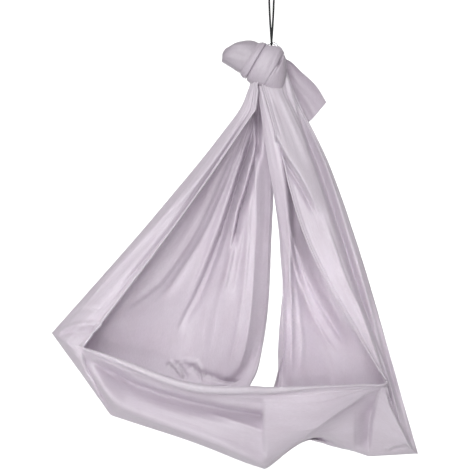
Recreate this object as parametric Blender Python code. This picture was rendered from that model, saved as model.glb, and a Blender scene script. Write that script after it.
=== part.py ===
"""Aerial yoga hammock: one long cloth knotted on a steel ring, hung by a cord loop and a karabiner
from a swivel under a ceiling plate. Metres, +Z up, +Y away from the viewer. The origin is the
middle of the plate's top face, where it meets the ceiling."""

import math

import bmesh
import bpy
import numpy as np
from mathutils import Matrix, Vector

# Clearances
GAP = 0.0003
RUNNING_GAP = 0.0003
# How far a cutter runs past the face it cuts
BEYOND = 0.001

# Ceiling plate
PLATE_RADIUS = 0.048
PLATE_THICK = 0.006
PLATE_EDGE = 0.0012
SCREW_HOLES = 4
SCREW_HOLE_RADIUS = 0.0042
SCREW_CIRCLE_RADIUS = 0.036
SINK_RADIUS = 0.0075
SINK_DEPTH = 0.003

# Swivel: cup under the plate, thrust bearing, nut and forged eye
CUP_WALL = 0.0045
CUP_FLOOR = 0.006
CUP_FLANGE = 0.0035
CUP_ROUND = 0.002
RACE_RADIUS = 0.0145
RACE_THICK = 0.0025
BALL_RADIUS = 0.0022
BALLS = 10
BALL_CIRCLE_RADIUS = 0.0108
CAGE_WIDTH = 0.005
CAGE_THICK = 0.0012
STEM_RADIUS = 0.006
NUT_ACROSS = 0.019
NUT_THICK = 0.0064
STEM_HEADROOM = 0.001
COLLAR_RADIUS = 0.0095
COLLAR_THICK = 0.0065
EYE_RADIUS = 0.017
EYE_BAR = 0.005

# Karabiner: an oval of round bar with a sprung gate
BAR = 0.005
OVAL_HALF_WIDTH = 0.019
OVAL_STRAIGHT = 0.060
GATE_RADIUS = 0.0045
GATE_SPLIT = 0.0008
NOSE_RUN = 0.0023
GATE_FOOT = 0.005
TONGUE_THICK = 0.004
TONGUE_WIDTH = 0.006
TONGUE_LENGTH = 0.007
HINGE_RISE = 0.009
HINGE_TONGUE_RADIUS = 0.0037
PIN_RADIUS = 0.0015
PIN_OVERHANG = 0.0004
GATE_BORE_RADIUS = 0.0024
GATE_BORE_DEPTH = 0.020
PLUNGER_RADIUS = 0.0019
PLUNGER_LENGTH = 0.004
SPRING_WIRE = 0.0004
SPRING_RADIUS = 0.0016
SPRING_TURNS = 6

# Cord loop: one cord, its ends butted in a crimped sleeve
CORD = 0.008
LOOP_REACH = 0.254
SLEEVE_LENGTH = 0.034
SLEEVE_WALL = 0.0014
SLEEVE_DROP = 0.036
SLEEVE_EDGE = 0.0006
TWIST_START = 0.058

# Ring that the cloth is knotted on
RING_RADIUS = 0.024
RING_BAR = 0.005

# Cloth: thicker where the same width is gathered tighter, so that the sling hangs level
LEFT_CLOTH = 0.0020
SEAT_CLOTH = 0.0022
PANEL_CLOTH = 0.0030
RIGHT_CLOTH = 0.0054
TAIL_CLOTH = 0.003
PLEATS = 5
PLEAT_DEPTH = 0.008
HAMMOCK_WIDTH = 1.460
HAMMOCK_DROP = 1.696
HAMMOCK_DEPTH = 0.330
HEM_ROLL_RADIUS = 0.015
HEM_START = 0.3
HEM_SLOT = 0.002
UNDERSIDE_DROP = 0.188
UNDERSIDE_SLOPE = 0.354
FORWARD_LEAN = 0.027

# Knot: a barrel of three wraps, tilted down to the right, with a rolled end on its left
KNOT_LEFT = 0.016
KNOT_BACK = 0.004
KNOT_DROP = 0.100
KNOT_TILT = math.radians(30)
KNOT_LENGTH = 0.166
KNOT_HEIGHT = 0.184
KNOT_DEPTH = 0.128
KNOT_END_LEAN = 0.30
ROLL_LENGTH = 0.104
CORD_POCKET_RADIUS = 0.0165
CORD_POCKET_HALF_WIDTH = 0.010
# Rings of the wraps in shares of the knot's length, height, height and depth: along from the left
# end, middle above the axis, full height, full depth. The two narrow places are the wraps' creases.
WRAP_RINGS = [
    (0, -0.03, 0.76, 0.72), (0.04, -0.02, 0.83, 0.81), (0.11, -0.01, 0.89, 0.89), (0.16, 0, 0.89, 0.89),
    (0.19, 0, 0.85, 0.84), (0.22, 0, 0.91, 0.91), (0.31, 0.01, 0.98, 0.97), (0.43, 0.02, 1, 1),
    (0.55, 0.03, 1, 1), (0.64, 0.02, 0.97, 0.97), (0.69, 0.02, 0.91, 0.91), (0.71, 0.01, 0.87, 0.86),
    (0.74, 0, 0.89, 0.89), (0.81, -0.01, 0.85, 0.84), (0.88, -0.03, 0.76, 0.75), (0.94, -0.05, 0.63, 0.62),
    (0.98, -0.06, 0.46, 0.47), (1, -0.07, 0.26, 0.28),
]
# Rings of the rolled end in the same shares, but along from the knot's face in shares of its own
# length, and with how far each leans, so that its tip ends in a slanting face
ROLL_RINGS = [
    (0, -0.015, 0.77, 0.75, 0), (0.30, -0.03, 0.74, 0.72, 0), (0.60, -0.075, 0.61, 0.66, 0),
    (0.85, -0.17, 0.40, 0.50, 0), (0.97, -0.20, 0.20, 0.28, 0),
]

SIDES = 24
BAR_SIDES = 10
LOOP_STEPS = 24
AXIS_MARK = 0.02

# Sections of the cloth from the back edge, round the outside, to the front edge: across, depth, and
# down from the ring's bar. The unit of each is a share of the hammock's size, and is a millimetre at
# the size above. The two mouths lie on the knot's underside.
ACROSS_UNIT = HAMMOCK_WIDTH / 1460
DEPTH_UNIT = HAMMOCK_DEPTH / 330
DROP_UNIT = HAMMOCK_DROP / 1696
UNITS = (ACROSS_UNIT, DEPTH_UNIT, DROP_UNIT)
LEFT_MOUTH = [
    (-38, 30), (-50, 42), (-60, 30), (-70, 40), (-78, 28), (-86, 14),
    (-90, -2), (-86, -18), (-78, -30), (-66, -34), (-52, -42),
]
LEFT_UPPER = [
    (6, 84, 417), (-40, 76, 411), (-66, 54, 393), (-98, 72, 384), (-124, 48, 366), (-168, 28, 355),
    (-190, 2, 353), (-180, -26, 359), (-164, -42, 368), (-146, -44, 376), (-130, -56, 373),
]
LEFT_MIDDLE = [
    (4, 128, 780), (-64, 100, 772), (-126, 90, 732), (-200, 118, 714), (-268, 78, 674), (-384, 50, 650),
    (-426, 8, 648), (-404, -38, 660), (-376, -62, 678), (-352, -60, 692), (-336, -78, 678),
]
LEFT_FOOT = [
    (-34, 138, 1220), (-126, 130, 1302), (-238, 142, 1362), (-390, 155, 1350), (-648, 95, 1254),
    (-820, 40, 1192), (-874, -10, 1158), (-846, -50, 1168), (-816, -78, 1182), (-774, -98, 1194),
    (-736, -112, 1204),
]
SEAT_LEFT = [
    (-62, 122, 1330), (-158, 138, 1378), (-250, 138, 1446), (-392, 114, 1496), (-532, 70, 1494),
    (-608, 28, 1492), (-636, -15, 1482), (-660, -62, 1428), (-654, -108, 1362), (-600, -140, 1306),
    (-534, -150, 1284),
]
SEAT_INNER = [
    (-94, 120, 1404), (-142, 128, 1458), (-176, 116, 1518), (-234, 86, 1562), (-280, 52, 1580),
    (-326, 20, 1580), (-358, -18, 1570), (-362, -75, 1516), (-352, -125, 1448), (-320, -168, 1388),
    (-282, -172, 1354),
]
KEEL = [
    (-56, 118, 1462), (-64, 114, 1528), (-44, 92, 1590), (-36, 62, 1642), (-34, 30, 1678), (-30, 0, 1696),
    (-30, -30, 1694), (-32, -80, 1634), (-36, -125, 1530), (-42, -165, 1428), (-42, -172, 1384),
]
PANEL_MIDDLE = [
    (-24, 116, 1448), (6, 120, 1526), (58, 118, 1574), (112, 110, 1594), (160, 96, 1596), (190, 72, 1594),
    (204, 40, 1586), (200, -30, 1560), (186, -110, 1512), (188, -140, 1418), (192, -148, 1354),
]
PANEL_RIGHT = [
    (-2, 116, 1426), (46, 124, 1502), (120, 130, 1568), (202, 130, 1605), (276, 118, 1632), (318, 96, 1640),
    (336, 66, 1636), (334, 0, 1548), (330, -80, 1422), (332, -98, 1380), (336, -106, 1352),
]
PINCH = [
    (10, 116, 1402), (54, 126, 1448), (130, 134, 1504), (254, 142, 1574), (352, 136, 1634), (390, 112, 1660),
    (394, 80, 1660), (400, 15, 1530), (416, -45, 1398), (430, -62, 1368), (442, -72, 1348),
]
RIGHT_FOOT = [
    (16, 116, 1386), (42, 128, 1392), (84, 124, 1400), (266, 142, 1414), (416, 132, 1494), (534, 84, 1586),
    (584, 20, 1640), (548, -20, 1608), (494, -25, 1484), (456, -52, 1374), (444, -62, 1344),
]
RIGHT_MIDDLE = [
    (34, 88, 808), (50, 62, 800), (70, 38, 790), (108, 84, 788), (216, 88, 788), (302, 48, 788),
    (334, 2, 788), (310, -38, 788), (276, -28, 768), (240, -66, 756), (114, -72, 732),
]
RIGHT_UPPER = [
    (2, 46, 490), (-8, -6, 484), (20, -32, 478), (56, 30, 478), (118, 58, 478), (188, 36, 478),
    (228, 2, 478), (208, -30, 476), (180, -20, 468), (150, -56, 462), (36, -60, 452),
]
RIGHT_MOUTH = [
    (-28, 34), (-18, 44), (-34, 4), (-10, 28), (28, 38), (76, 28),
    (102, 6), (88, -22), (66, -16), (40, -42), (-30, -36),
]
# Each section with the number of rows from it to the next
SECTIONS = [
    (LEFT_MOUTH, 2), (LEFT_UPPER, 3), (LEFT_MIDDLE, 6), (LEFT_FOOT, 3), (SEAT_LEFT, 3), (SEAT_INNER, 3),
    (KEEL, 3), (PANEL_MIDDLE, 2), (PANEL_RIGHT, 2), (PINCH, 3), (RIGHT_FOOT, 6), (RIGHT_MIDDLE, 3),
    (RIGHT_UPPER, 2), (RIGHT_MOUTH, 0),
]
STEPS_ACROSS = 3
# How sharply each line of the cloth turns at a section, from 0 for smooth to 1 for a crease
CORNERS = {
    3: [0, 0, 0, 0.2, 0.5, 0.8, 1, 1, 1, 1, 1],
    6: [0, 0, 0, 0, 0.2, 0.6, 1, 0.8, 0.2, 0, 0.3],
    9: [0, 0, 0, 0, 0.2, 0.8, 1, 0.5, 0.3, 0.3, 0.5],
    10: [0, 0, 0, 0.2, 0.5, 0.8, 1, 1, 1, 1, 1],
}

# Free end of the cloth behind the knot's right: across, depth, down, in rows from knot to hem, in
# thousandths of a metre
TAIL_UNIT = 0.001
TAIL_ROWS = [
    [(42, 16, 56), (48, 32, 80), (46, 40, 106), (42, 36, 130), (38, 42, 152)],
    [(74, 28, 70), (76, 46, 94), (72, 54, 120), (66, 48, 144), (60, 54, 166)],
    [(118, 34, 110), (112, 58, 140), (106, 64, 166), (98, 56, 196), (88, 64, 216)],
    [(180, 38, 168), (168, 62, 200), (156, 70, 232), (140, 60, 258), (124, 68, 276)],
    [(222, 40, 234), (204, 56, 256), (184, 64, 280), (164, 58, 302), (144, 64, 318)],
]
TAIL_STEPS = 3

# Levels down the chain of fittings
PLATE_UNDER = -PLATE_THICK
RACE_BORE = STEM_RADIUS + RUNNING_GAP
CUP_INNER = RACE_RADIUS + RUNNING_GAP
CUP_OUTER = CUP_INNER + CUP_WALL
NUT_TOP = PLATE_UNDER - GAP - STEM_HEADROOM
NUT_UNDER = NUT_TOP - NUT_THICK
UPPER_RACE_TOP = NUT_UNDER - GAP
UPPER_RACE_UNDER = UPPER_RACE_TOP - RACE_THICK
BALL_LEVEL = UPPER_RACE_UNDER - GAP - BALL_RADIUS
LOWER_RACE_TOP = BALL_LEVEL - BALL_RADIUS - GAP
LOWER_RACE_UNDER = LOWER_RACE_TOP - RACE_THICK
CUP_FLOOR_TOP = LOWER_RACE_UNDER - GAP
CUP_UNDER = CUP_FLOOR_TOP - CUP_FLOOR
COLLAR_TOP = CUP_UNDER - GAP
EYE_CENTRE = COLLAR_TOP - EYE_BAR - EYE_RADIUS
EYE_PIVOT = EYE_CENTRE - EYE_RADIUS
OVAL_TOP = EYE_PIVOT + EYE_BAR + BAR + GAP
OVAL_UPPER = OVAL_TOP - OVAL_HALF_WIDTH
OVAL_LOWER = OVAL_UPPER - OVAL_STRAIGHT
LOOP_PIVOT = OVAL_LOWER - OVAL_HALF_WIDTH
RING_PIVOT = LOOP_PIVOT - LOOP_REACH
RING_CENTRE = RING_PIVOT - RING_RADIUS
GATE_PIN = OVAL_LOWER + HINGE_RISE
NOSE_END = OVAL_UPPER - NOSE_RUN


def principled(name, colour, metallic, roughness):
    """A material of one colour, with its metal and roughness."""
    made = bpy.data.materials.new(name)
    made.use_nodes = True
    shader = made.node_tree.nodes["Principled BSDF"]
    shader.inputs["Base Color"].default_value = (*colour, 1.0)
    shader.inputs["Metallic"].default_value = metallic
    shader.inputs["Roughness"].default_value = roughness
    made.diffuse_color = (*colour, 1.0)
    return made


def place(name, mesh, material, smooth=40):
    """Puts a mesh in the scene as a named piece."""
    piece = bpy.data.objects.new(name, mesh)
    bpy.context.scene.collection.objects.link(piece)
    mesh.materials.append(material)
    mesh.shade_smooth()
    mesh.set_sharp_from_angle(angle=math.radians(smooth))
    return piece


def finished(work, name):
    """Welds, turns the faces outward and writes the work mesh."""
    bmesh.ops.remove_doubles(work, verts=work.verts, dist=1e-6)
    bmesh.ops.recalc_face_normals(work, faces=work.faces)
    mesh = bpy.data.meshes.new(name)
    work.to_mesh(mesh)
    work.free()
    return mesh


def turned(name, profile, material, sides=SIDES):
    """Spins an outline of (radius, height) once round Z. It closes on itself or ends on the axis."""
    work = bmesh.new()
    verts = [work.verts.new((r, 0, z)) for r, z in profile]
    pairs = list(zip(verts, verts[1:]))
    if profile[0][0] > 0:
        pairs.append((verts[-1], verts[0]))
    edges = [work.edges.new(pair) for pair in pairs]
    bmesh.ops.spin(
        work, geom=verts + edges, cent=(0, 0, 0), axis=(0, 0, 1), angle=math.tau, steps=sides, use_merge=True
    )
    return place(name, finished(work, name), material)


def cylinder(name, radius, start, end, material, sides=16):
    """A round bar from one point to another."""
    start, end = Vector(start), Vector(end)
    work = bmesh.new()
    bmesh.ops.create_cone(
        work, cap_ends=True, segments=sides, radius1=radius, radius2=radius, depth=(end - start).length
    )
    turn = (end - start).to_track_quat("Z", "Y").to_matrix()
    bmesh.ops.rotate(work, verts=work.verts, cent=(0, 0, 0), matrix=turn)
    bmesh.ops.translate(work, verts=work.verts, vec=(start + end) / 2)
    return place(name, finished(work, name), material)


def block(name, low, high, material):
    """A square block between two corners."""
    low, high = Vector(low), Vector(high)
    work = bmesh.new()
    bmesh.ops.create_cube(work, size=1)
    bmesh.ops.scale(work, verts=work.verts, vec=high - low)
    bmesh.ops.translate(work, verts=work.verts, vec=(low + high) / 2)
    return place(name, finished(work, name), material)


def combine(piece, other, how):
    """Joins or cuts a piece with another, which stays as a hidden guide."""
    other.hide_render = True
    other.display_type = "WIRE"
    change = piece.modifiers.new(other.name, "BOOLEAN")
    change.operation = how
    change.object = other


def swept(name, points, radii, material, sides=BAR_SIDES, closed=False):
    """A round bar along points, with square ends or closed on itself."""
    points = [Vector(p) for p in points]
    count = len(points)
    if not hasattr(radii, "__len__"):
        radii = [radii] * count
    work = bmesh.new()
    rings = []
    side = None
    for i, point in enumerate(points):
        before = points[(i - 1) % count] if closed or i > 0 else point
        after = points[(i + 1) % count] if closed or i < count - 1 else point
        along = (after - before).normalized()
        if side is None:
            side = along.orthogonal().normalized()
        side = (side - along * side.dot(along)).normalized()
        other = along.cross(side)
        turns = [math.tau * k / sides for k in range(sides)]
        spokes = [side * math.cos(t) + other * math.sin(t) for t in turns]
        rings.append([work.verts.new(point + spoke * radii[i]) for spoke in spokes])
    for first, second in zip(rings, rings[1:] + (rings[:1] if closed else [])):
        for k in range(sides):
            work.faces.new((first[k], first[(k + 1) % sides], second[(k + 1) % sides], second[k]))
    if not closed:
        work.faces.new(rings[0][::-1])
        work.faces.new(rings[-1])
    return place(name, finished(work, name), material)


def lofted(name, rings, material):
    """A closed body through rings of points of equal count."""
    work = bmesh.new()
    made = [[work.verts.new(p) for p in ring] for ring in rings]
    count = len(rings[0])
    for first, second in zip(made, made[1:]):
        for k in range(count):
            work.faces.new((first[k], first[(k + 1) % count], second[(k + 1) % count], second[k]))
    work.faces.new(made[0][::-1])
    work.faces.new(made[-1])
    return place(name, finished(work, name), material, smooth=60)


def arc(centre, radius, start, end, count, plane="YZ"):
    """Points of an arc in a plane, angles in degrees from its first axis towards its second."""
    found = []
    for k in range(count + 1):
        turn = math.radians(start + (end - start) * k / count)
        flat, up = radius * math.cos(turn), radius * math.sin(turn)
        offset = {"YZ": (0, flat, up), "XZ": (flat, 0, up), "XY": (flat, up, 0)}[plane]
        found.append(Vector(centre) + Vector(offset))
    return found


def make_ceiling_plate(steel):
    """Round plate with countersunk screw holes, flat on the ceiling."""
    profile = [
        (0, 0), (PLATE_RADIUS - PLATE_EDGE, 0), (PLATE_RADIUS, -PLATE_EDGE),
        (PLATE_RADIUS, PLATE_UNDER + PLATE_EDGE), (PLATE_RADIUS - PLATE_EDGE, PLATE_UNDER), (0, PLATE_UNDER),
    ]
    plate = turned("ceiling_plate", profile, steel, sides=40)
    beyond = 2 * BEYOND
    mouth = SINK_RADIUS + beyond * (SINK_RADIUS - SCREW_HOLE_RADIUS) / SINK_DEPTH
    neck = PLATE_UNDER + SINK_DEPTH
    for k in range(SCREW_HOLES):
        turn = math.tau * (k + 0.5) / SCREW_HOLES
        x, y = SCREW_CIRCLE_RADIUS * math.cos(turn), SCREW_CIRCLE_RADIUS * math.sin(turn)
        rings = []
        levels = (SCREW_HOLE_RADIUS, beyond), (SCREW_HOLE_RADIUS, neck), (mouth, PLATE_UNDER - beyond)
        for radius, level in levels:
            rings.append([Vector((x, y, level)) + p for p in arc((0, 0, 0), radius, 0, 360, 16, "XY")[:-1]])
        combine(plate, lofted(f"screw_hole_{k}", rings, steel), "DIFFERENCE")
    return plate


def make_swivel(steel, dark_steel):
    """Cup, bearing, nut and eye."""
    top = PLATE_UNDER - GAP
    flange = top - CUP_FLANGE
    turned(
        "swivel_cup",
        [
            (CUP_INNER, top), (CUP_OUTER + CUP_FLANGE, top), (CUP_OUTER + CUP_FLANGE, flange + CUP_ROUND / 2),
            (CUP_OUTER, flange - CUP_ROUND / 2), (CUP_OUTER, CUP_UNDER + CUP_ROUND),
            (CUP_OUTER - CUP_ROUND, CUP_UNDER),
            (RACE_BORE, CUP_UNDER), (RACE_BORE, CUP_FLOOR_TOP), (CUP_INNER, CUP_FLOOR_TOP),
        ],
        steel,
        sides=32,
    )
    for name, upper, lower in (
        ("upper_race", UPPER_RACE_TOP, UPPER_RACE_UNDER),
        ("lower_race", LOWER_RACE_TOP, LOWER_RACE_UNDER),
    ):
        outline = [(RACE_BORE, upper), (RACE_RADIUS, upper), (RACE_RADIUS, lower), (RACE_BORE, lower)]
        turned(name, outline, dark_steel)
    inner, outer = BALL_CIRCLE_RADIUS - CAGE_WIDTH / 2, BALL_CIRCLE_RADIUS + CAGE_WIDTH / 2
    low, high = BALL_LEVEL - CAGE_THICK / 2, BALL_LEVEL + CAGE_THICK / 2
    cage = turned("ball_cage", [(inner, high), (outer, high), (outer, low), (inner, low)], dark_steel)
    work = bmesh.new()
    for k in range(BALLS):
        turn = math.tau * k / BALLS
        made = bmesh.ops.create_uvsphere(work, u_segments=8, v_segments=4, radius=BALL_RADIUS)
        centre = (BALL_CIRCLE_RADIUS * math.cos(turn), BALL_CIRCLE_RADIUS * math.sin(turn), BALL_LEVEL)
        bmesh.ops.translate(work, verts=made["verts"], vec=centre)
    combine(cage, place("balls", finished(work, "balls"), dark_steel), "UNION")
    nut_corner = NUT_ACROSS / 2 / math.cos(math.pi / 6)
    nut = turned(
        "swivel_nut",
        [(RACE_BORE, NUT_TOP), (nut_corner, NUT_TOP), (nut_corner, NUT_UNDER), (RACE_BORE, NUT_UNDER)],
        dark_steel,
        sides=6,
    )
    ends = (0, 0, NUT_UNDER - BEYOND), (0, 0, NUT_TOP + BEYOND)
    bore = cylinder("nut_bore", RACE_BORE, *ends, dark_steel, SIDES)
    combine(nut, bore, "DIFFERENCE")
    eye = turned(
        "swivel_eye",
        [
            (0, NUT_TOP), (STEM_RADIUS, NUT_TOP), (STEM_RADIUS, COLLAR_TOP), (COLLAR_RADIUS, COLLAR_TOP),
            (COLLAR_RADIUS, COLLAR_TOP - COLLAR_THICK / 2), (STEM_RADIUS, COLLAR_TOP - COLLAR_THICK),
            (0, COLLAR_TOP - COLLAR_THICK),
        ],
        steel,
    )
    loop = arc((0, 0, EYE_CENTRE), EYE_RADIUS, 90, 450, LOOP_STEPS, "XZ")[:-1]
    combine(eye, swept("eye_loop", loop, EYE_BAR, steel, closed=True), "UNION")


def make_karabiner(chrome, dark_steel):
    """Oval frame, gate on its pin, plunger and spring."""
    side = OVAL_HALF_WIDTH
    shoulder = GATE_PIN - math.hypot(GATE_RADIUS, GATE_FOOT) - 2 * RUNNING_GAP
    route = [Vector((0, side, NOSE_END))]
    route += arc((0, 0, OVAL_UPPER), side, 0, 180, 12)
    route += arc((0, 0, OVAL_LOWER), side, 180, 360, 12)
    route.append(Vector((0, side, shoulder)))
    frame = swept("karabiner_frame", route, BAR, chrome)
    half = TONGUE_THICK / 2
    nose = block(
        "nose_tongue",
        (-half, side - TONGUE_WIDTH / 2, NOSE_END - TONGUE_LENGTH),
        (half, side + TONGUE_WIDTH / 2, NOSE_END + 2 * BEYOND),
        chrome,
    )
    combine(frame, nose, "UNION")
    heel = block(
        "heel_tongue",
        (-half, side - HINGE_TONGUE_RADIUS, shoulder - 2 * BEYOND),
        (half, side + HINGE_TONGUE_RADIUS, GATE_PIN),
        chrome,
    )
    combine(frame, heel, "UNION")
    cap = cylinder("heel_round", HINGE_TONGUE_RADIUS, (-half, side, GATE_PIN), (half, side, GATE_PIN), chrome)
    combine(frame, cap, "UNION")
    bored = cylinder(
        "frame_pin_hole", PIN_RADIUS + GAP, (-BAR, side, GATE_PIN), (BAR, side, GATE_PIN), chrome
    )
    combine(frame, bored, "DIFFERENCE")

    gate_top = NOSE_END - GATE_SPLIT
    ends = (0, side, GATE_PIN - GATE_FOOT), (0, side, gate_top)
    gate = cylinder("karabiner_gate", GATE_RADIUS, *ends, chrome)
    slot = half + RUNNING_GAP
    slot_floor = GATE_PIN + HINGE_TONGUE_RADIUS + 2 * RUNNING_GAP
    wide = 2 * GATE_RADIUS
    for name, low, high in (
        ("nose_slot", NOSE_END - TONGUE_LENGTH - 2 * RUNNING_GAP, gate_top + BEYOND),
        ("heel_slot", GATE_PIN - 2 * GATE_FOOT, slot_floor),
    ):
        cutter = block(name, (-slot, side - wide, low), (slot, side + wide, high), chrome)
        combine(gate, cutter, "DIFFERENCE")
    bore_top = slot_floor + GATE_BORE_DEPTH
    ends = (0, side, slot_floor - BEYOND), (0, side, bore_top)
    bore = cylinder("gate_bore", GATE_BORE_RADIUS, *ends, chrome)
    combine(gate, bore, "DIFFERENCE")
    fit = cylinder("gate_pin_hole", PIN_RADIUS + GAP, (-wide, side, GATE_PIN), (wide, side, GATE_PIN), chrome)
    combine(gate, fit, "DIFFERENCE")

    reach = GATE_RADIUS + PIN_OVERHANG
    cylinder("gate_pin", PIN_RADIUS, (-reach, side, GATE_PIN), (reach, side, GATE_PIN), dark_steel, 12)
    plunger_foot = GATE_PIN + HINGE_TONGUE_RADIUS + RUNNING_GAP
    plunger_top = plunger_foot + PLUNGER_LENGTH
    cylinder("gate_plunger", PLUNGER_RADIUS, (0, side, plunger_foot), (0, side, plunger_top), dark_steel, 12)
    low = plunger_top + SPRING_WIRE + GAP
    high = bore_top - SPRING_WIRE - GAP
    coil = []
    steps = SPRING_TURNS * 8
    for k in range(steps + 1):
        turn = math.tau * k / 8
        level = low + (high - low) * k / steps
        coil.append((SPRING_RADIUS * math.cos(turn), side + SPRING_RADIUS * math.sin(turn), level))
    swept("gate_spring", coil, SPRING_WIRE, dark_steel, sides=6)


def loop_points():
    """The cord's centre line: up from the sleeve, over the karabiner, down, round the ring and back
    up, with a quarter turn on the way, because the karabiner and the ring stand crosswise."""
    over = BAR + CORD / 2 + GAP
    under = RING_BAR + CORD / 2 + GAP
    sleeve_middle = LOOP_PIVOT - SLEEVE_DROP

    def strand(level, start):
        share = max(0, LOOP_PIVOT - TWIST_START - level) / (LOOP_REACH - TWIST_START)
        turn = start + share * math.pi / 2
        spread = over + (under - over) * share
        return Vector((spread * math.cos(turn), spread * math.sin(turn), level))

    levels = [LOOP_PIVOT - LOOP_REACH * k / 14 for k in range(15)]
    points = [strand(sleeve_middle + GAP / 2, 0)]
    points += [strand(z, 0) for z in reversed(levels[1:2])]
    points += arc((0, 0, LOOP_PIVOT), over, 0, 180, 8, "XZ")
    points += [strand(z, math.pi) for z in levels[1:-1]]
    points += arc((0, 0, RING_PIVOT), under, 180, 360, 8, "YZ")
    points += [strand(z, 0) for z in reversed(levels[3:-1])]
    points.append(strand(sleeve_middle - GAP / 2, 0))
    points.reverse()
    return points


def make_cord(black, dark_steel):
    """The cord loop and its sleeve."""
    points = loop_points()
    curve = bpy.data.curves.new("hanging_cord", "CURVE")
    curve.dimensions = "3D"
    curve.bevel_depth = CORD / 2
    curve.bevel_resolution = 2
    curve.use_fill_caps = True
    line = curve.splines.new("POLY")
    line.points.add(len(points) - 1)
    for point, where in zip(line.points, points):
        point.co = (*where, 1)
    curve.materials.append(black)
    bpy.context.scene.collection.objects.link(bpy.data.objects.new("hanging_cord", curve))
    over = BAR + CORD / 2 + GAP
    middle = LOOP_PIVOT - SLEEVE_DROP
    inner = CORD / 2 + 2 * GAP
    outer = inner + SLEEVE_WALL
    low, high = middle - SLEEVE_LENGTH / 2, middle + SLEEVE_LENGTH / 2
    sleeve = turned(
        "cord_sleeve",
        [
            (inner, high), (outer - SLEEVE_EDGE, high), (outer, high - SLEEVE_EDGE),
            (outer, low + SLEEVE_EDGE), (outer - SLEEVE_EDGE, low), (inner, low),
        ],
        dark_steel,
        sides=16,
    )
    sleeve.location = (over, 0, 0)
    return sleeve


def slopes(points, gaps):
    """Tangents at the points of a smooth curve, weighted by the gaps between them."""
    rise = np.diff(points, axis=0) / gaps
    inner = (rise[:-1] * gaps[1:] + rise[1:] * gaps[:-1]) / (gaps[1:] + gaps[:-1])
    return np.concatenate([rise[:1], inner, rise[-1:]])


def smooth_line(points, counts, corners=None):
    """A smooth curve through the points, with the given number of steps in each span. Corners says
    how sharply it turns at some of them."""
    points = np.asarray(points, float)
    corners = corners or {}
    gaps = np.maximum(np.linalg.norm(np.diff(points, axis=0), axis=1, keepdims=True), 1e-6)
    rise = np.diff(points, axis=0) / gaps
    lean = slopes(points, gaps)
    found = []
    for i, count in enumerate(counts):
        out = lean[i] + (rise[i] - lean[i]) * corners.get(i, 0)
        into = lean[i + 1] + (rise[i] - lean[i + 1]) * corners.get(i + 1, 0)
        for k in range(count):
            t = k / count
            a = 2 * t**3 - 3 * t**2 + 1
            b = t**3 - 2 * t**2 + t
            c = -2 * t**3 + 3 * t**2
            d = t**3 - t**2
            found.append(a * points[i] + b * gaps[i] * out + c * points[i + 1] + d * gaps[i] * into)
    found.append(points[-1])
    return np.array(found)


def grid_normals(grid):
    """The direction square to the sheet at each point of its grid."""
    along = np.gradient(grid, axis=0)
    across = np.gradient(grid, axis=1)
    square = np.cross(along, across)
    return square / np.linalg.norm(square, axis=2, keepdims=True)


def on_underside(section):
    """Gives a mouth's points their level on the sloping underside of the knot."""
    drop = UNDERSIDE_DROP + GAP
    return [(x, y, (drop + UNDERSIDE_SLOPE * x * ACROSS_UNIT) / DROP_UNIT) for x, y in section]


def cloth_grid():
    """Rows of points over the whole cloth, and the row at which each section lies."""
    counts = [count for _, count in SECTIONS[:-1]]
    net = []
    for section, _ in SECTIONS:
        net.append(on_underside(section) if len(section[0]) == 2 else section)
    net = np.array(net, float) * UNITS
    drop = net[..., 2] - net[0, :, 2].mean()
    drop[0] = drop[-1] = 0
    net[..., 1] -= FORWARD_LEAN * drop
    net[..., 2] = RING_PIVOT - net[..., 2]
    lines = []
    for j in range(net.shape[1]):
        lines.append(smooth_line(net[:, j], counts, {at: sharp[j] for at, sharp in CORNERS.items()}))
    rows = np.stack(lines, axis=1)
    grid = np.array([smooth_line(row, [STEPS_ACROSS] * (row.shape[0] - 1)) for row in rows])
    breaks = [sum(counts[:i]) for i in range(len(SECTIONS))]
    return pleated(grid, breaks), breaks


def pleated(grid, breaks):
    """Adds soft pleats that run down each drape and fade at the knot and the seat."""
    normals = grid_normals(grid)
    columns = np.linspace(0, 1, grid.shape[1])
    wave = np.sin(math.tau * PLEATS * columns) * np.sin(math.pi * columns) ** 0.5
    for top, foot in ((0, breaks[3]), (breaks[13], breaks[10])):
        for row in range(min(top, foot), max(top, foot) + 1):
            share = (row - top) / (foot - top)
            depth = PLEAT_DEPTH * math.sin(math.pi * share) ** 2
            grid[row] += normals[row] * (depth * wave)[:, None]
    return grid


def cloth_piece(name, grid, normals, material, first_thick, last_thick=None):
    """A closed sheet over part of the grid, its thickness even or changing from first row to last."""
    thick = np.linspace(first_thick, last_thick or first_thick, len(grid))[:, None, None]
    work = bmesh.new()
    sides = []
    for push in (thick / 2, -thick / 2):
        sides.append([[work.verts.new(p) for p in row] for row in grid + normals * push])
    rows, columns = grid.shape[:2]
    for which, verts in enumerate(sides):
        for i in range(rows - 1):
            for j in range(columns - 1):
                ring = (verts[i][j], verts[i + 1][j], verts[i + 1][j + 1], verts[i][j + 1])
                work.faces.new(ring if which else ring[::-1])
    rim = [(0, j) for j in range(columns)] + [(i, columns - 1) for i in range(1, rows)]
    rim += [(rows - 1, j) for j in range(columns - 2, -1, -1)] + [(i, 0) for i in range(rows - 2, 0, -1)]
    upper, lower = sides
    for (a, b), (c, d) in zip(rim, rim[1:] + rim[:1]):
        work.faces.new((upper[a][b], upper[c][d], lower[c][d], lower[a][b]))
    bmesh.ops.triangulate(work, faces=work.faces)
    return place(name, finished(work, name), material, smooth=60)


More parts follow.
